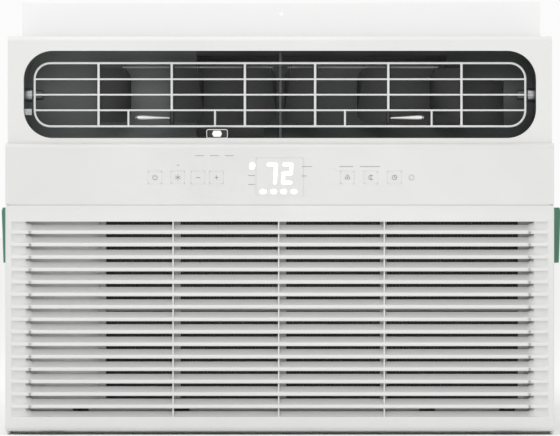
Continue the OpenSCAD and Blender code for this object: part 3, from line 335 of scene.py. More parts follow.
# %% Dress the solids
def dress(node, finish, round_mm):
    """Gives a solid its finish and, where it has a rounded edge, a weld and a bevel."""
    solid = nodes[node]
    solid.data.materials.clear()
    solid.data.materials.append(finish)
    if round_mm:
        weld = solid.modifiers.new("weld", "WELD")
        weld.merge_threshold = 0.00001
        bevel = solid.modifiers.new("round", "BEVEL")
        bevel.width = round_mm * MM
        bevel.segments = 2
        bevel.limit_method = "ANGLE"
        bevel.angle_limit = math.radians(40)


# Finish, width of the rounded edges, and the solids that take them
SOLID_FINISHES = (
    (white_abs, 0.5, "front_frame"),
    (fascia_abs, 0.3, "control_band"),
    (fascia_abs, 0.0, "display_window"),
    (board, 0.0, "key_board"),
    (filter_grey, 0.4, "filter_frame"),
    (duct_grey, 0.0, "outlet_bezel"),
    (nickel, 0.5, "director_pivots"),
    (nickel, 0.2, "friction_clip"),
    (bracket_black, 0.2, "vent_bracket"),
    (knob_white, 0.5, "vent_knob"),
    (damper_grey, 0.3, "vent_door"),
    (cabinet_paint, 0.0, "cabinet rear_guard"),
    (zinc_sheet, 0.0, "base_pan bulkhead motor_bracket control_box"),
    (rubber, 0.8, "drain_plug cord_gland compressor_mounts"),
    (rail_paint, 0.4, "top_rail"),
    (grip_green, 0.8, "handle_left handle_right"),
    (duct_dark, 0.0, "air_duct"),
    (foam, 0.0, "blower_scroll"),
    (blower_grey, 0.0, "blower_wheel"),
    (motor_zinc, 1.5, "fan_motor"),
    (motor_zinc, 0.0, "motor_shaft"),
    (fan_black, 0.0, "condenser_fan fan_shroud"),
    (copper, 0.0, "condenser_bends evaporator_bends suction_pipe discharge_pipe liquid_line"),
    (enamel, 2.0, "compressor"),
    (cap_black, 1.5, "terminal_cover"),
    (can_aluminium, 0.8, "run_capacitor"),
    (copper, 0.5, "temp_sensor"),
    (link_grey, 0.2, "tie_bar_left tie_bar_right"),
)
for finish, round_mm, names in SOLID_FINISHES:
    for node in names.split():
        dress(node, finish, round_mm)
for node in nodes:
    if node.startswith("vane_"):
        dress(node, vane_black, 0.25)
    if node.startswith("key_") and node != "key_board":
        dress(node, key_abs, 0.12)
print("solids dressed:", len(nodes))

# %% [markdown]
# ## Two ways to make a piece
# A piece that follows no rule is drawn in a bmesh from plain sections and then closed. A piece that
# repeats, such as a louvre, a fin, a thread or a screw, is drawn once and set out by Geometry Nodes,
# because one tree with named sizes is easier to change than a hundred copies. Each tree ends with real
# geometry and a material, and the result is kept as a plain mesh.


# %% Drawing sections in millimetres
SHARP = 35.0


def smooth(mesh, sharp):
    """Smooth shading that stays crisp where faces meet at more than the sharp angle, in degrees."""
    for face in mesh.polygons:
        face.use_smooth = True
    mesh.set_sharp_from_angle(angle=math.radians(sharp))


def linked(name, data):
    """A new object in the scene."""
    piece = bpy.data.objects.new(name, data)
    bpy.context.scene.collection.objects.link(piece)
    return piece


def circle(radius, count):
    """Points round a circle about the origin."""
    turns = [step * math.tau / count for step in range(count)]
    return [(radius * math.cos(a), radius * math.sin(a)) for a in turns]


def finished(name, shape, finish, sharp=SHARP):
    """Turns a bmesh drawn in millimetres into a finished piece at the origin, its faces outwards."""
    bmesh.ops.recalc_face_normals(shape, faces=shape.faces)
    bmesh.ops.scale(shape, vec=(MM, MM, MM), verts=shape.verts)
    mesh = bpy.data.meshes.new(name)
    shape.to_mesh(mesh)
    shape.free()
    mesh.materials.append(finish)
    smooth(mesh, sharp)
    return linked(name, mesh)


def add_block(shape, lo, hi):
    """A box from corner to corner."""
    corners = [
        shape.verts.new((x, y, z)) for x in (lo[0], hi[0]) for y in (lo[1], hi[1]) for z in (lo[2], hi[2])
    ]
    for a, b, c, d in ((0, 1, 3, 2), (4, 6, 7, 5), (0, 4, 5, 1), (2, 3, 7, 6), (0, 2, 6, 4), (1, 5, 7, 3)):
        shape.faces.new((corners[a], corners[b], corners[c], corners[d]))


def add_rod(shape, start, end, radius, sides):
    """A rod between two points."""
    start, end = Vector(start), Vector(end)
    turn = (end - start).to_track_quat("Z", "Y").to_matrix().to_4x4()
    bmesh.ops.create_cone(
        shape, cap_ends=True, segments=sides, radius1=radius, radius2=radius,
        depth=(end - start).length, matrix=Matrix.Translation((start + end) / 2) @ turn,
    )


def add_skin(shape, rings, closed_ends=True):
    """A closed skin through rings of points that all have the same count."""
    rows = [[shape.verts.new(point) for point in ring] for ring in rings]
    for here, there in zip(rows, rows[1:]):
        for i in range(len(here)):
            j = (i + 1) % len(here)
            shape.faces.new((here[i], here[j], there[j], there[i]))
    if closed_ends:
        shape.faces.new(list(reversed(rows[0])))
        shape.faces.new(rows[-1])


print("section helpers ready")

# %% Growing pieces from node trees
def new_tree(name, sizes):
    """A Geometry Nodes tree with a geometry input, the named sizes and a geometry output."""
    tree = bpy.data.node_groups.new(name, "GeometryNodeTree")
    tree.interface.new_socket("Geometry", in_out="INPUT", socket_type="NodeSocketGeometry")
    for size, kind in sizes.items():
        tree.interface.new_socket(size, in_out="INPUT", socket_type=kind)
    tree.interface.new_socket("Geometry", in_out="OUTPUT", socket_type="NodeSocketGeometry")
    return tree, add(tree, "NodeGroupInput").outputs


def end_tree(tree, geometry, finish):
    """Makes the copies real, gives them their finish and puts them out."""
    real = add(tree, "GeometryNodeRealizeInstances", {"Geometry": geometry})
    inputs = {"Geometry": real.outputs["Geometry"], "Material": finish}
    dressed = add(tree, "GeometryNodeSetMaterial", inputs)
    add(tree, "NodeGroupOutput", {"Geometry": dressed.outputs["Geometry"]})


def set_copies(tree, given, points, turn=None):
    """Sets a copy of the given piece on every point and ends the tree."""
    piece = add(tree, "GeometryNodeObjectInfo", {"Object": given["Piece"]}).outputs["Geometry"]
    inputs = {"Points": points, "Instance": piece, **(turn or {})}
    copies = add(tree, "GeometryNodeInstanceOnPoints", inputs)
    end_tree(tree, copies.outputs["Instances"], given["Finish"])


def settle(piece, sharp):
    """Keeps what a piece's modifiers make of it as its plain mesh."""
    result = bpy.data.meshes.new_from_object(piece.evaluated_get(bpy.context.evaluated_depsgraph_get()))
    piece.modifiers.clear()
    piece.data = result
    smooth(result, sharp)


def grow(name, tree, sizes, seed=None, sharp=SHARP):
    """Runs a tree on a seed mesh and keeps the result as a plain mesh."""
    piece = linked(name, seed or bpy.data.meshes.new(name))
    growth = piece.modifiers.new("growth", "NODES")
    growth.node_group = tree
    for socket in tree.interface.items_tree:
        if socket.name in sizes:
            growth[socket.identifier] = sizes[socket.name]
    settle(piece, sharp)
    return piece


def fuse(name, parts):
    """Joins finished pieces into one."""
    first = parts[0]
    with bpy.context.temp_override(active_object=first, object=first, selected_editable_objects=parts):
        bpy.ops.object.join()
    first.name = name
    return first


def carve(piece, cutters):
    """Cuts the cutters out of a piece and removes them."""
    for cutter in cutters:
        bite = piece.modifiers.new("bite", "BOOLEAN")
        bite.operation = "DIFFERENCE"
        bite.solver = "EXACT"
        bite.object = cutter
    settle(piece, SHARP)
    for cutter in cutters:
        bpy.data.objects.remove(cutter)


row_tree, given = new_tree("set_out_in_a_row", {
    "Piece": "NodeSocketObject", "Count": "NodeSocketInt", "First": "NodeSocketVector",
    "Step": "NodeSocketVector", "Finish": "NodeSocketMaterial",
})
inputs = {"Count": given["Count"], "Start Location": given["First"], "Offset": given["Step"]}
places = add(row_tree, "GeometryNodeMeshLine", inputs, mode="OFFSET")
set_copies(row_tree, given, places.outputs["Mesh"])


def set_out(name, template, count, first, step, finish):
    """Sets out copies of a template in a row, in millimetres, and removes the template."""
    row = grow(name, row_tree, {
        "Piece": template, "Count": count, "Finish": finish,
        "First": [c * MM for c in first], "Step": [c * MM for c in step],
    })
    bpy.data.objects.remove(template)
    return row


WIRE_SIDES = 12
sizes = {"Radius": "NodeSocketFloat", "Finish": "NodeSocketMaterial"}
wire_tree, given = new_tree("wire_along_edges", sizes)
runs = add(wire_tree, "GeometryNodeMeshToCurve", {"Mesh": given["Geometry"]}).outputs["Curve"]
inputs = {"Resolution": WIRE_SIDES, "Radius": given["Radius"]}
section = add(wire_tree, "GeometryNodeCurvePrimitiveCircle", inputs).outputs["Curve"]
inputs = {"Curve": runs, "Profile Curve": section, "Fill Caps": True}
wire = add(wire_tree, "GeometryNodeCurveToMesh", inputs)
end_tree(wire_tree, wire.outputs["Mesh"], given["Finish"])


def wire_piece(name, paths, radius, finish):
    """Round wire of one radius along paths. A path whose last point is its first is a loop."""
    mesh = bpy.data.meshes.new(name)
    points, edges = [], []
    for path in paths:
        first = len(points)
        loop = path[0] == path[-1]
        kept = path[:-1] if loop else path
        points += [[c * MM for c in point] for point in kept]
        edges += [(first + i, first + i + 1) for i in range(len(kept) - 1)]
        if loop:
            edges.append((first + len(kept) - 1, first))
    mesh.from_pydata(points, edges, [])
    return grow(name, wire_tree, {"Radius": radius * MM, "Finish": finish}, mesh, 40)


print("trees ready:", [tree.name for tree in bpy.data.node_groups])

# %% [markdown]
# ## The intake grille
# On the real unit this is one moulding: a shallow tray whose face is cut into sixteen slots. Each bar
# between two slots has an upright lip flush with the face, then sweeps up and back so that nobody can see
# straight in. At both ends the sweep runs out into a shallow scoop in the plain border. One louvre with
# its two scoops is drawn as closed skins, and the row tree sets it out sixteen times.

# %% One louvre and its scoops
LOUVRE_COUNT = 16
SLOTS_BELOW_TOP = 14.25
LOUVRE_PITCH = 10.96
BORDER = 22.5
SCOOP_START = 5.2
SKIN = 1.3  # thickness of the scoops
OVERLAP = 2.0  # how far the bars run on behind the border
face_y = front_y / MM
panel_x = half_width / MM
slots_top = grille_hi.z / MM - SLOTS_BELOW_TOP
slots_foot = slots_top - LOUVRE_COUNT * LOUVRE_PITCH
louvre_x = panel_x - BORDER + OVERLAP

# Height above the bar's foot, and depth behind the face, round the section of one bar
BAR_SECTION = [
    (0.0, 0.75), (0.12, 0.3), (0.5, 0.05), (1.2, 0.0), (2.4, 0.06), (3.0, 0.28), (3.3, 0.7), (3.5, 1.3),
    (3.95, 2.3), (4.7, 3.5), (5.8, 4.7), (7.0, 5.7), (8.06, 6.4), (8.06, 9.4), (6.9, 9.4), (6.3, 7.3),
    (5.0, 5.6), (3.4, 4.2), (1.8, 2.9), (0.7, 1.9),
]
# Height above the bar's foot, depth of a scoop, and depth of the bar and slot it runs into
SCOOP_SECTION = [
    (0.0, 0.75, 0.75), (0.12, 0.3, 0.3), (0.5, 0.05, 0.05), (1.2, 0.0, 0.0), (2.4, 0.06, 0.06),
    (3.0, 0.3, 0.28), (3.3, 0.75, 0.7), (3.6, 1.6, 1.7), (4.5, 2.6, 3.3), (5.8, 2.9, 4.7), (7.0, 3.0, 5.7),
    (8.06, 3.0, 6.4), (9.4, 2.8, 6.4), (10.4, 2.3, 6.4), (10.8, 1.5, 6.4), (10.96, 0.75, 6.4),
]
SLOT_FOOT = 8.06
SLOT_SLANT = 4.4
# How deep a scoop is, how far it has become the bar, and where, as a share of the border's width
SCOOP_STEPS = (
    (0.25, 0.0, 0.03), (0.6, 0.0, 0.1), (0.85, 0.0, 0.22), (1.0, 0.0, 0.45), (1.0, 0.04, 0.62),
    (1.0, 0.16, 0.72), (1.0, 1.0, 1.01),
)


def scoop_ring(x, share, blend, side):
    """One section of a scoop. Blend turns the scoop into the bar and slants the slot's end outwards."""
    face = []
    for z, shallow, deep in SCOOP_SECTION:
        slant = SLOT_SLANT * max(0.0, z - SLOT_FOOT) / (LOUVRE_PITCH - SLOT_FOOT) if blend == 1.0 else 0.0
        depth = shallow * share * (1 - blend) + deep * blend
        face.append((side * (x + slant), face_y + depth, z))
    return face + [(px, y + SKIN, z) for px, y, z in reversed(face)]


louvre = bmesh.new()
add_skin(louvre, [[(x, face_y + d, z) for z, d in BAR_SECTION] for x in (-louvre_x, louvre_x)])
for side in (-1, 1):
    rings = [scoop_ring(panel_x - SCOOP_START + 0.4, 0.0, 0.0, side)]
    for share, blend, along in SCOOP_STEPS:
        rings.append(scoop_ring(panel_x - SCOOP_START - along * (BORDER - SCOOP_START), share, blend, side))
    add_skin(louvre, rings)
louvres = set_out(
    "grille_louvres", finished("louvre_template", louvre, grille_abs), LOUVRE_COUNT, (0, 0, slots_foot),
    (0, 0, LOUVRE_PITCH), grille_abs,
)
print("louvres:", LOUVRE_COUNT, "with", len(louvres.data.polygons), "faces")

# %% [markdown]
# The tray is drawn as a solid block with its long edges rounded, and is then hollowed and given its
# window, just as the moulding tool's core and slides leave it. Rounding comes first, because a cut face
# has no clean edge to round afterwards.

# %% The grille's tray
DOOR_WALL = 2.5
DOOR_DEEP = 14.0
FOOT_ROUND = 5.0
SIDE_ROUND = 0.9
NEAR = 0.01  # two places closer than this are the same
RIBS_X = (-94.0, -1.0, 92.0)
RIB_HALF = 0.6
HINGE_X = 200.0
HINGE_SPAN = 10.5
HINGE_Y = face_y + 9.0
HINGE_Z = 10.0
HINGE_ROUND = 28
KNUCKLE_HALF = 4.0
ARM_HALF = 3.2
tray_lo = Vector(grille_lo) / MM
tray_hi = Vector(grille_hi) / MM
tray_back = face_y + DOOR_DEEP


tray_shape = bmesh.new()
add_block(tray_shape, (-panel_x, face_y, tray_lo.z), (panel_x, tray_back, tray_hi.z))
bmesh.ops.recalc_face_normals(tray_shape, faces=tray_shape.faces)
foot_edges = [
    edge for edge in tray_shape.edges
    if all(abs(v.co.y - face_y) < NEAR and abs(v.co.z - tray_lo.z) < NEAR for v in edge.verts)
]
bmesh.ops.bevel(tray_shape, geom=foot_edges, offset=FOOT_ROUND, segments=8, profile=0.5, affect="EDGES")
side_edges = [
    edge for edge in tray_shape.edges
    if abs(abs(edge.verts[0].co.x) - panel_x) < NEAR and abs(edge.verts[0].co.x - edge.verts[1].co.x) < NEAR
    and min(v.co.y for v in edge.verts) < tray_back - 0.5
    and any(face.normal.y < -0.3 for face in edge.link_faces)
]
bmesh.ops.bevel(tray_shape, geom=side_edges, offset=SIDE_ROUND, segments=3, profile=0.5, affect="EDGES")
tray = finished("intake_grille_moulding", tray_shape, grille_abs)

hollow = bmesh.new()
add_block(
    hollow, (-panel_x + DOOR_WALL, face_y + DOOR_WALL, tray_lo.z + DOOR_WALL),
    (panel_x - DOOR_WALL, tray_back + 1, tray_hi.z - DOOR_WALL),
)
window = bmesh.new()
add_block(
    window, (-panel_x + SCOOP_START, face_y - 1, slots_foot + 3.3),
    (panel_x - SCOOP_START, face_y + 5, slots_top),
)
cutters = [finished("hollow", hollow, grille_abs), finished("window", window, grille_abs)]
for side in (-1, 1):
    notch = bmesh.new()
    add_block(
        notch, (side * HINGE_X - HINGE_SPAN, face_y + DOOR_WALL, 0),
        (side * HINGE_X + HINGE_SPAN, tray_back + 1, HINGE_Z + 4.8),
    )
    cutters.append(finished("notch", notch, grille_abs))
carve(tray, cutters)

details = bmesh.new()
for x in RIBS_X:
    add_block(
        details, (x - RIB_HALF, face_y + 1.6, slots_foot + 2), (x + RIB_HALF, face_y + 9.3, slots_top + 2)
    )
for side in (-1, 1):
    outer, inner = [[(HINGE_Y + a, HINGE_Z + b) for a, b in circle(r, HINGE_ROUND)] for r in (4.8, 2.26)]
    x0, x1 = side * HINGE_X - KNUCKLE_HALF, side * HINGE_X + KNUCKLE_HALF
    loops = ((outer, x0), (outer, x1), (inner, x1), (inner, x0), (outer, x0))
    add_skin(details, [[(x, y, z) for y, z in ring] for ring, x in loops], closed_ends=False)
    add_block(details, (x0, face_y + 2.0, HINGE_Z - ARM_HALF), (x1, HINGE_Y - 4.0, HINGE_Z + ARM_HALF))
bmesh.ops.remove_doubles(details, verts=details.verts, dist=0.0001)
hinges = finished("grille_details", details, grille_abs)
grille_piece = fuse("intake_grille_moulding", [tray, louvres, hinges])
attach(grille_piece, "grille")
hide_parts("intake_grille")
print("grille:", len(grille_piece.data.polygons), "faces")

# %% [markdown]
# ## The air director
# The real director is moulded like bent wire: round bars that cross without any fillet. So it is drawn
# as centre lines, and one tree sweeps a circle along them, once for each thickness. The bushes that hold
# the vanes' pins are black and sit behind the ring, and the end bushes ride on the steel pivots.

# %% Director centre lines
WIRE_INSET = 1.2
ring_x = ring_hi.x / MM
wire_y = ring_lo.y / MM + WIRE_INSET
mid_z = outlet_z / MM
half_h = (ring_hi.z - ring_lo.z) / 2 / MM
pivot_lo, pivot_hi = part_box("director_pivots")
tilt_y = (pivot_lo.y + pivot_hi.y) / 2 / MM
POSTS = (31.06, 95.76, 160.46)
CELL = 13.75  # from one inner bar to the next
RING_R = 14.0
WINDOW_HALF = 38.3
END_BUSH = 8
BUSH_R = 2.6
BUSH_DEEP = 2.6


def rounded_loop(half_w, half_z, radius, y, z0, steps=10):
    """A rounded rectangle as a closed path."""
    path = []
    for quarter, (sx, sz) in enumerate(((1, 1), (-1, 1), (-1, -1), (1, -1))):
        for step in range(steps + 1):
            angle = (quarter + step / steps) * math.pi / 2
            x = sx * (half_w - radius) + radius * math.cos(angle)
            path.append((x, y, z0 + sz * (half_z - radius) + radius * math.sin(angle)))
    return path + [path[0]]


loop = rounded_loop(ring_x - 1.0, half_h - 1.0, RING_R, wire_y, mid_z)
levels = [mid_z + k * CELL for k in (-1, 0, 1)]
cross_bars = [[(-ring_x + 1, wire_y, z), (ring_x - 1, wire_y, z)] for z in levels]
posts, window_posts = [], []
for side in (-1, 1):
    for place, x in enumerate(POSTS):
        foot = mid_z - CELL if place == 1 else mid_z - half_h + 1
        posts.append([(side * x, wire_y, foot), (side * x, wire_y, mid_z + half_h - 1)])
    for shift in (-WINDOW_HALF, WINDOW_HALF):
        x = side * POSTS[1] + shift
        window_posts.append([(x, wire_y, mid_z - half_h + 1), (x, wire_y, mid_z - CELL)])
director = fuse("air_director_wires", [
    wire_piece("ring", [loop], 1.02, acetal_white),
    wire_piece("bars", cross_bars, 0.82, acetal_white),
    wire_piece("posts", posts, 1.15, acetal_white),
    wire_piece("window_posts", window_posts, 0.95, acetal_white),
])

bushes = bmesh.new()
for side in (-1, 1):
    for x in POSTS:
        for top in (-1, 1):
            rings = []
            for z in (mid_z + top * (half_h - 0.15), mid_z + top * (half_h - BUSH_DEEP)):
                outline = [(side * x + a, tilt_y + b, z) for a, b in circle(BUSH_R, 20)[:11]]
                outline += [(side * x - BUSH_R, wire_y + 0.4, z), (side * x + BUSH_R, wire_y + 0.4, z)]
                rings.append(outline)
            add_skin(bushes, rings)
    x0, x1 = side * (ring_x - END_BUSH), side * ring_x
    add_rod(bushes, (x0, tilt_y, mid_z), (x1, tilt_y, mid_z), 4.2, 28)
    add_block(bushes, (min(x0, x1), wire_y, mid_z - 3), (max(x0, x1), tilt_y, mid_z + 3))
director_bushes = finished("air_director_bushes", bushes, bush_black)
for part in (director, director_bushes):
    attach(part, "director")
    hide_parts("director_ring")
print("director:", len(director.data.polygons), "faces of wire")

# %% [markdown]
# ## Thumb levers
# Each middle vane carries a pale lever that comes out through the director's lower window. The real one
# thickens and rounds towards its tip so that a finger finds it, which is a skin through ovals that grow.

# %% Two thumb levers
LEVER_DROP = -20.4
REST_TURN = math.radians(58)
# Distance from the vane's pin, half the thickness and half the height of each oval
LEVER_OVALS = (
    (3.0, 0.9, 0.95), (8.0, 0.95, 1.0), (16.0, 1.0, 1.25), (24.0, 1.05, 1.6), (31.0, 1.1, 1.8),
    (34.5, 1.05, 1.75), (36.0, 0.8, 1.3), (36.6, 0.3, 0.5),
)
OVAL_POINTS = 14
for side, body in ((-1, "left_lead_vane"), (1, "right_lead_vane")):
    lever = bmesh.new()
    rings = []
    for along, half_t, half_z in LEVER_OVALS:
        turn = side * REST_TURN
        oval = []
        for a, b in circle(1, OVAL_POINTS):
            across, up = half_t * a, half_z * b
            x = side * POSTS[1] + across * math.cos(turn) + along * math.sin(turn)
            y = tilt_y + across * math.sin(turn) - along * math.cos(turn)
            oval.append((x, y, mid_z + LEVER_DROP + up))
        rings.append(oval)
    add_skin(lever, rings)
    tip = finished(("left" if side < 0 else "right") + "_thumb_lever", lever, lever_grey, 60)
    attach(tip, body)
print("thumb levers made")

# %% [markdown]
# ## Filter cloth and coil fins
# The filter is a loose weave of black nylon, and each coil is a stack of thin aluminium sheets on copper
# tubes. Both are straight rows of one small piece, so the row tree makes them. Real thread and real fins
# are far finer and closer. These are as fine as still shows as cloth, and as sheets, at this size.

# %% Woven filter cloth
def row_of_boxes(name, size, count, first, step, finish):
    """A row of small boxes, each drawn about its own middle."""
    shape = bmesh.new()
    add_block(shape, [-c / 2 for c in size], [c / 2 for c in size])
    return set_out(name, finished("template", shape, grille_abs), count, first, step, finish)


nylon = moulded("black_nylon_filter_thread", "#161616", "#101010", 0.6, 0.4, 0.02)
cloth_lo, cloth_hi = (Vector(c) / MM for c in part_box("filter_mesh"))
THREAD = 0.8
THREAD_PITCH = 1.25
THREAD_DEEP = 0.35
OVER_UNDER = 0.2  # the two layers lie this far to each side of the cloth's middle
EDGE = 0.5
cloth_y = (cloth_lo.y + cloth_hi.y) / 2
wide, tall = cloth_hi.x - cloth_lo.x, cloth_hi.z - cloth_lo.z
warp = row_of_boxes(
    "warp", (THREAD, THREAD_DEEP, tall), int(wide / THREAD_PITCH),
    (cloth_lo.x + EDGE, cloth_y - OVER_UNDER, cloth_lo.z + tall / 2), (THREAD_PITCH, 0, 0), nylon,
)
weft = row_of_boxes(
    "weft", (wide, THREAD_DEEP, THREAD), int(tall / THREAD_PITCH),
    (cloth_lo.x + wide / 2, cloth_y + OVER_UNDER, cloth_lo.z + EDGE), (0, 0, THREAD_PITCH), nylon,
)
cloth = fuse("filter_cloth_woven", [warp, weft])
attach(cloth, "filter")
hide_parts("filter_mesh")
print("filter cloth:", len(cloth.data.polygons), "faces")

# %% Finned coils
FIN_PITCH = 2.0
FIN_THICK = 0.7
END_PLATE = 1.2
TUBE_R = 3.6
TUBE_PITCH = 25  # about this far apart, spread evenly over the coil's height
for node, label in (("evaporator_coil", "evaporator_fins"), ("condenser_coil", "condenser_fins")):
    lo, hi = (Vector(c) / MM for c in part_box(node))
    depth, tall = hi.y - lo.y, hi.z - lo.z
    middle = [(a + b) / 2 for a, b in zip(lo, hi)]
    fins = row_of_boxes(
        label, (FIN_THICK, depth - 2, tall - 4), int((hi.x - lo.x - 4) / FIN_PITCH),
        (lo.x + 2.5, middle[1], middle[2]), (FIN_PITCH, 0, 0), fin_aluminium,
    )
    plates = bmesh.new()
    for x in (lo.x, hi.x - END_PLATE):
        add_block(plates, (x, lo.y, lo.z), (x + END_PLATE, hi.y, hi.z))
    end_plates = finished(label + "_ends", plates, zinc_sheet)
    tubes = bmesh.new()
    rows = int(tall / TUBE_PITCH)
    for row in range(rows):
        z = lo.z + (row + 0.5) * tall / rows
        for y in (lo.y + depth * 0.28, lo.y + depth * 0.72):
            add_rod(tubes, (lo.x + 0.5, y, z), (hi.x - 0.5, y, z), TUBE_R, 12)
    coil = fuse(label, [fins, end_plates, finished(label + "_tubes", tubes, copper)])
    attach(coil, "housing")
    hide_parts(node)
    print(label, len(coil.data.polygons), "faces")

# %% [markdown]
# ## Screws
# All the case screws are one kind: a pan head with a cross recess, so one is lathed and cut, and a tree
# sets it on marked points. The points come from the solid screws themselves. Each island of that solid
# gives a place, and its long axis says which way the head faces.

# %% Screws on their places
def islands(node):
    """The separate bodies of one solid, as the corners of their boxes, in millimetres."""
    shape = bmesh.new()
    shape.from_mesh(nodes[node].data)
    bmesh.ops.remove_doubles(shape, verts=shape.verts, dist=0.00001)
    left = set(shape.verts)
    while left:
        found, queue = [], [left.pop()]
        while queue:
            vert = queue.pop()
            found.append(vert.co / MM)
            near = {edge.other_vert(vert) for edge in vert.link_edges} & left
            left -= near
            queue += near
        yield [min(p[i] for p in found) for i in range(3)], [max(p[i] for p in found) for i in range(3)]
    shape.free()


HEAD_SIDES = 20
# Radius and height of the screw's outline, from the top of the head to the tip
SCREW_OUTLINE = (
    (0.0, 0.0), (2.4, 0.0), (3.2, -0.35), (3.6, -1.0), (3.6, -2.0), (1.7, -2.0), (1.7, -8.2), (0.0, -9.0),
)
RECESS_LONG, RECESS_WIDE, RECESS_DEEP = 2.0, 0.45, 1.2
head = bmesh.new()
rings = [[(x, y, z) for x, y in circle(r, HEAD_SIDES)] for r, z in SCREW_OUTLINE]
for pair in zip(rings, rings[1:]):
    add_skin(head, pair, closed_ends=False)
bmesh.ops.remove_doubles(head, verts=head.verts, dist=0.001)
bmesh.ops.dissolve_degenerate(head, dist=0.001, edges=head.edges)
screw = finished("screw_template", head, zinc_plate)
recesses = []
for across, along in ((RECESS_LONG, RECESS_WIDE), (RECESS_WIDE, RECESS_LONG)):
    recess = bmesh.new()
    add_block(recess, (-across, -along, -RECESS_DEEP), (across, along, 1))
    recesses.append(finished("recess", recess, zinc_plate))
carve(screw, recesses)

sizes = {"Piece": "NodeSocketObject", "Finish": "NodeSocketMaterial"}
points_tree, given = new_tree("set_on_points", sizes)
facing = add(points_tree, "GeometryNodeInputNamedAttribute", {"Name": "facing"}, data_type="FLOAT_VECTOR")
way_up = {"Vector": facing.outputs["Attribute"]}
turned = add(points_tree, "FunctionNodeAlignRotationToVector", way_up, axis="Z")
set_copies(points_tree, given, given["Geometry"], {"Rotation": turned.outputs["Rotation"]})

spots, ways = [], []
for lo, hi in islands("case_screws"):
    spans = [b - a for a, b in zip(lo, hi)]
    axis = spans.index(max(spans))
    way = [0.0, 0.0, 0.0]
    way[axis] = 1.0 if axis else math.copysign(1.0, lo[0])
    spot = [(a + b) / 2 for a, b in zip(lo, hi)]
    spot[axis] = hi[axis] if way[axis] > 0 else lo[axis]
    spots.append([c * MM for c in spot])
    ways += way
marks = bpy.data.meshes.new("screw_places")
marks.from_pydata(spots, [], [])
marks.attributes.new("facing", "FLOAT_VECTOR", "POINT").data.foreach_set("vector", ways)
screws = grow("case_screws_cross_head", points_tree, {"Piece": screw, "Finish": zinc_plate}, marks)
bpy.data.objects.remove(screw)
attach(screws, "housing")
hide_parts("case_screws")
print("screws:", len(spots), "with", len(screws.data.polygons), "faces")

# %% [markdown]
# ## Pressed louvres in the cabinet
# Rain must not run into the condenser's air slots, so the sheet over each slot is pressed out into a
# hood that is closed at the top and ends and open below. One hood is a quarter-round shell. The row tree
# sets out each column, and the top of the cabinet gets the same hoods lying down.

# %% Cabinet hoods
HOOD_OUT = 3.2
HOOD_TALL = 7.0
HOOD_SHEET = 0.7
HOOD_CAP = 0.8
SIDE_HOOD, SIDE_COUNT, SIDE_PITCH = 56.0, 11, 22.0
TOP_HOOD, TOP_COUNT, TOP_PITCH = 54.0, 6, 16.0
case_hi = Vector(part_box("cabinet")[1]) / MM


def hood_shape(length, turn):
    """A pressed hood along Y on the face x = 0, open below; turn places it on another face."""
    shape = bmesh.new()
    outline = [(0.0, 0.0), (HOOD_OUT, 0.0), (HOOD_OUT, 2.0), (2.7, 4.2), (1.6, 5.9), (0.0, HOOD_TALL)]
    inner_x = HOOD_OUT - HOOD_SHEET
    inner = [(0.0, HOOD_TALL - 1.2), (1.2, 5.2), (2.1, 3.9), (inner_x, 2.0), (inner_x, 0.0)]
    add_skin(shape, [[(x, y, z) for x, z in outline[1:] + inner] for y in (0.0, length)])
    for y in (-0.03, length - 0.77):
        add_skin(shape, [[(x, yy, z) for x, z in outline] for yy in (y, y + HOOD_CAP)])
    bmesh.ops.transform(shape, matrix=turn, verts=shape.verts)
    return finished("hood_template", shape, cabinet_paint)


hood_parts = []
for side in (-1, 1):
    mirror = Matrix.Diagonal((side, 1, 1, 1))
    for column in (0, 1):
        hood_parts.append(set_out(
            f"side_hoods_{side}_{column}", hood_shape(SIDE_HOOD, mirror), SIDE_COUNT,
            (side * case_hi.x, case_hi.y - 150 + column * 72, 60.0), (0, 0, SIDE_PITCH), cabinet_paint,
        ))
lie_down = Matrix(((0, 1, 0, 0), (0, 0, -1, 0), (1, 0, 0, 0), (0, 0, 0, 1)))
for column in range(-2, 3):
    first = (column * case_hi.x / 3 - TOP_HOOD / 2, case_hi.y - 114, case_hi.z)
    template = hood_shape(TOP_HOOD, lie_down)
    hood_parts.append(set_out(
        f"top_hoods_{column}", template, TOP_COUNT, first, (0, TOP_PITCH, 0), cabinet_paint
    ))
hoods = fuse("cabinet_pressed_hoods", hood_parts)
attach(hoods, "housing")
print("hoods:", len(hoods.data.polygons), "faces")

# %% [markdown]
# ## Marks on the keys and the lit display
# The keys carry plain line symbols in grey ink, thin enough to feel but not to see from the side. The
# display shows two digits and a few round lamps that glow through the white window. Strokes are short
# flat bars with round ends, so every mark is made by one helper that lays strokes on a plane.

# %% Strokes and symbols
band_y = band_lo.y / MM
key_lo, key_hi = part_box("key_power")
key_face = key_lo.y / MM
INK = 0.06
STROKE = 0.5
STEP_UP = 0.001  # each stroke of a mark stands this much over the last, so that no two faces share a plane


def add_stroke(shape, a, b, width, y, thick, cap_steps=8):
    """A flat bar with round ends from a to b, standing thick in front of the plane y."""
    a, b = Vector((a[0], 0, a[1])), Vector((b[0], 0, b[1]))
    along = (b - a).normalized() if (b - a).length > 1e-6 else Vector((1, 0, 0))
    start = math.atan2(along.z, along.x)
    outline = []
    for end, centre in ((0, b), (1, a)):
        for step in range(cap_steps + 1):
            angle = start - math.pi / 2 + end * math.pi + step * math.pi / cap_steps
            outline.append((centre.x + width / 2 * math.cos(angle), centre.z + width / 2 * math.sin(angle)))
    add_skin(shape, [[(x, yy, z) for x, z in outline] for yy in (y, y - thick)])


def arc(centre, radius, start, end, steps=16):
    """Points round an arc, angles in degrees."""
    turns = [math.radians(start + (end - start) * i / steps) for i in range(steps + 1)]
    return [(centre[0] + radius * math.cos(a), centre[1] + radius * math.sin(a)) for a in turns]


def strokes_of(path):
    """A path cut into its strokes."""
    return list(zip(path, path[1:]))


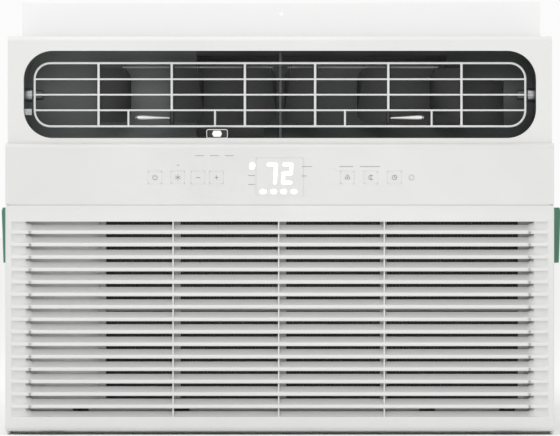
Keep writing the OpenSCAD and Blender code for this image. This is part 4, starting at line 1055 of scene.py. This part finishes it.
BLADES = [(turn, arc((0, 0), 1.25, turn, turn, 1)[0]) for turn in (90, 210, 330)]
SYMBOLS = {
    "power": strokes_of(arc((0, 0), 2.0, 125, 415)) + [((0, 0.4), (0, 2.3))],
    "mode": [tuple(arc((0, 0), 2.4, turn, turn + 180, 1)) for turn in (90, 30, -30)],
    "temp_down": [((-1.5, 0), (1.5, 0))],
    "temp_up": [((-1.5, 0), (1.5, 0)), ((0, -1.5), (0, 1.5))],
    "fan": [part for turn, hub in BLADES for part in strokes_of(arc(hub, 1.0, turn - 180, turn + 90, 10))],
    "sleep": strokes_of(arc((0, 0), 2.0, 50, 310)) + strokes_of(arc((1.15, 0), 1.55, 75, 285)),
    "timer": strokes_of(arc((0, 0), 2.0, 0, 360)) + [((0, 0), (0, 1.3)), ((0, 0), (1.0, 0))],
}
for symbol, strokes in SYMBOLS.items():
    lo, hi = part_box("key_" + symbol)
    x, z = (lo.x + hi.x) / 2 / MM, (lo.z + hi.z) / 2 / MM
    shape = bmesh.new()
    for layer, (a, b) in enumerate(strokes):
        start, end = (x + a[0], z + a[1]), (x + b[0], z + b[1])
        add_stroke(shape, start, end, STROKE, key_face, INK + STEP_UP * (layer % 7), 5)
    mark = finished("mark_" + symbol, shape, ink)
    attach(mark, symbol + "_key")
print("key marks:", len(SYMBOLS))

# %% The lit display and the printed legends
display_y = window_lo.y / MM
digits_z = band_lo.z / MM + 27.2
SEGMENTS = {
    "a": ((0, 2), (1, 2)), "b": ((1, 2), (1, 1)), "c": ((1, 1), (1, 0)), "d": ((0, 0), (1, 0)),
    "e": ((0, 1), (0, 0)), "g": ((0, 1), (1, 1)),
}
DIGIT_WIDE, DIGIT_HALF = 6.6, 8.0
DIGIT_LEAN = 0.06
LIT_THICK = 0.05
LAMPS_BELOW = 15.8
lamps = bmesh.new()
for left, shown in ((-10.4, "abc"), (3.2, "abged")):
    for layer, name in enumerate(shown):
        ends = []
        for across, up in SEGMENTS[name]:
            z = digits_z + (up - 1) * DIGIT_HALF
            ends.append((left + across * DIGIT_WIDE + DIGIT_LEAN * (z - digits_z), z))
        add_stroke(lamps, ends[0], ends[1], 3.0, display_y, LIT_THICK + STEP_UP * layer)
lamps_z = digits_z - LAMPS_BELOW
for x in (-14.7, -5.5, 3.3, 12.5):
    add_stroke(lamps, (x - 0.8, lamps_z), (x + 0.8, lamps_z), 4.2, display_y, LIT_THICK)
lit_piece = finished("display_lit_digits", lamps, lit)
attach(lit_piece, "housing")

beside = bmesh.new()
add_stroke(beside, (-24.4, digits_z + 6.2), (-24.2, digits_z + 7.4), 5.0, band_y, LIT_THICK)
lit_side = finished("band_lit_lamp", beside, lit)
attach(lit_side, "housing")

faint_ink = printed_ink("pale_grey_printed_legends", "#A9ABAA")
legends = bmesh.new()
key_mid = (key_lo.z + key_hi.z) / 2 / MM
LEGEND_WIDE, LEGEND_THICK = 0.7, 0.03
# Middle, height over the keys' middle and length of each dash
LEGENDS = (
    (-89.5, 10.8, 1.6), (-70.5, 19.2, 7.0), (-57.5, 19.2, 7.5), (-44.5, 19.2, 7.0), (-24.9, 1.7, 5.5),
    (-24.9, -6.2, 5.5), (24.0, 9.6, 8.5), (21.5, 1.3, 4.0), (58.5, 9.6, 12.0), (79.5, 9.6, 17.0),
)
for x, up, long in LEGENDS:
    start, end = (x - long / 2, key_mid + up), (x + long / 2, key_mid + up)
    add_stroke(legends, start, end, LEGEND_WIDE, band_y, LEGEND_THICK, 5)
for a, b in strokes_of(arc((116, key_mid), 2.2, 0, 360, 20)):
    add_stroke(legends, a, b, 0.4, band_y, LEGEND_THICK, 4)
legend_piece = finished("band_printed_legends", legends, faint_ink)
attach(legend_piece, "housing")
print("display and legends made")

# %% [markdown]
# Each key moves in a hole of the band, and the window is let into another. A narrow collar lines each
# hole, so that the gap round a key reads as a fine line and not as a view into the band.

# %% Collars round the keys and the window
KEY_HALF = (6.2, 5.7)
COLLAR_WIDE, COLLAR_GAP, COLLAR_DEEP = 0.7, 0.04, 1.2
seals = bmesh.new()
for node in ["display_window"] + ["key_" + symbol for symbol in SYMBOLS]:
    lo, hi = (Vector(c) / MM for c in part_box(node))
    reach_x, reach_z = KEY_HALF if node.startswith("key_") else ((hi.x - lo.x) / 2, (hi.z - lo.z) / 2)
    x, z = (lo.x + hi.x) / 2, (lo.z + hi.z) / 2
    front, back = band_y + 0.02, band_y + COLLAR_DEEP
    outer = rounded_loop(reach_x + COLLAR_WIDE, reach_z + COLLAR_WIDE, 1.6, front, z, 6)[:-1]
    inner = rounded_loop(reach_x + COLLAR_GAP, reach_z + COLLAR_GAP, 1.0, front, z, 6)[:-1]
    loops = ((outer, front), (inner, front), (inner, back), (outer, back), (outer, front))
    rings = [[(px + x, y, pz) for px, _, pz in path] for path, y in loops]
    add_skin(seals, rings, closed_ends=False)
bmesh.ops.remove_doubles(seals, verts=seals.verts, dist=0.0001)
seal_piece = finished("key_edge_seals", seals, fascia_abs)
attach(seal_piece, "housing")
print("collars made")

# %% [markdown]
# ## The vent knob's track
# The little white knob slides in a black bracket whose edge carries a thin pale rim. The rim is a wire
# along a rounded loop. The front frame also has a thin sill between the grille and the band, which closes
# the gap over the grille's top edge.

# %% Rim round the vent knob, and the sill over the grille
RIM_R = 0.4
RIM_INSET = 0.45
bracket_lo, bracket_hi = (Vector(c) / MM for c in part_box("vent_bracket"))
bracket_mid, bracket_half = (bracket_lo + bracket_hi) / 2, (bracket_hi - bracket_lo) / 2
rim_loop = rounded_loop(
    bracket_half.x - RIM_INSET, bracket_half.z - RIM_INSET, 1.6, bracket_lo.y - 0.2, bracket_mid.z, 6
)
rim_loop = [(x + bracket_mid.x, y, z) for x, y, z in rim_loop]
rim = wire_piece("vent_track_rim", [rim_loop], RIM_R, acetal_white)
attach(rim, "housing")

ledge = bmesh.new()
add_block(
    ledge, (-panel_x + 3, face_y + 0.45, tray_hi.z + 0.12), (panel_x - 3, face_y + 3, band_lo.z / MM + 0.3)
)
sill = finished("frame_sill_over_grille", ledge, white_abs)
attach(sill, "housing")
print("vent rim and sill made")

# %% [markdown]
# ## Camera and light
# A catalogue view: the camera stands three metres back with a long lens, almost square to the front and
# level with its middle. Two wide soft lights overhead, a long low one in front, weak ones at the sides and
# a pale world keep the shadows in the louvres soft.


# %% Floor, lights and camera
def soft_light(name, size, place, target, power):
    """A rectangular light that faces the target."""
    lamp = bpy.data.lights.new(name, "AREA")
    lamp.shape = "RECTANGLE"
    lamp.size, lamp.size_y = size
    lamp.energy = power
    holder = linked(name, lamp)
    holder.location = place
    holder.rotation_euler = (Vector(target) - Vector(place)).to_track_quat("-Z", "Y").to_euler()


FLOOR_HALF = 30
FLOOR_DROP = 0.0005  # just under the feet, so that nothing shares a plane with it
sheet = bmesh.new()
bmesh.ops.create_grid(sheet, x_segments=8, y_segments=8, size=FLOOR_HALF)
floor_mesh = bpy.data.meshes.new("floor")
sheet.to_mesh(floor_mesh)
sheet.free()
floor = linked("floor", floor_mesh)
floor.location.z = -FLOOR_DROP
floor_finish, floor_tree, floor_shader, _ = new_finish("pale_studio_floor")
feed(floor_tree, floor_shader, {"Base Color": linear("#F4F4F3"), "Roughness": 0.7})
floor_mesh.materials.append(floor_finish)

WORLD_STRENGTH = 0.97
world = bpy.data.worlds.new("pale_studio")
world.use_nodes = True
sky = {"Color": linear("#FFFFFF"), "Strength": WORLD_STRENGTH}
feed(world.node_tree, world.node_tree.nodes["Background"], sky)
bpy.context.scene.world = world
bpy.context.scene.view_settings.view_transform = "Standard"

TARGET = (0.0, front_y, 0.19)
# Each light's size, place in front of the unit's face, and power
LIGHTS = {
    "overhead": ((1.4, 0.8), (-0.2, 0.3, 1.9), 7),
    "key": ((1.6, 0.8), (-0.3, 1.3, 1.6), 5),
    "front": ((1.2, 0.5), (0.1, 4.0, 0.12), 16),
    "left_fill": ((1.4, 1.6), (-2.2, 1.6, 0.9), 2),
    "right_fill": ((1.2, 1.4), (2.3, 1.2, 0.8), 0.5),
}
for name, (size, (x, ahead, z), power) in LIGHTS.items():
    soft_light(name, size, (x, front_y - ahead, z), TARGET, power)

VIEW_WIDTH = 0.4928
STAND_BACK = 3.0
SIDE_STEP = 0.043
EYE_HEIGHT = 0.1905
SENSOR = 36.0
NUDGE = 0.0002  # a hair's shift of the view sideways
camera_data = bpy.data.cameras.new("camera")
camera_data.sensor_width = SENSOR
camera_data.lens = SENSOR * STAND_BACK / VIEW_WIDTH
camera_data.clip_end = 100
camera = linked("camera", camera_data)
camera.location = (SIDE_STEP, front_y - STAND_BACK, EYE_HEIGHT)
camera.rotation_euler = (math.radians(90), 0, 0)
camera_data.shift_x = (NUDGE - SIDE_STEP) / VIEW_WIDTH
bpy.context.scene.camera = camera
print("camera", tuple(round(c, 3) for c in camera.location), "lens", round(camera_data.lens, 1))
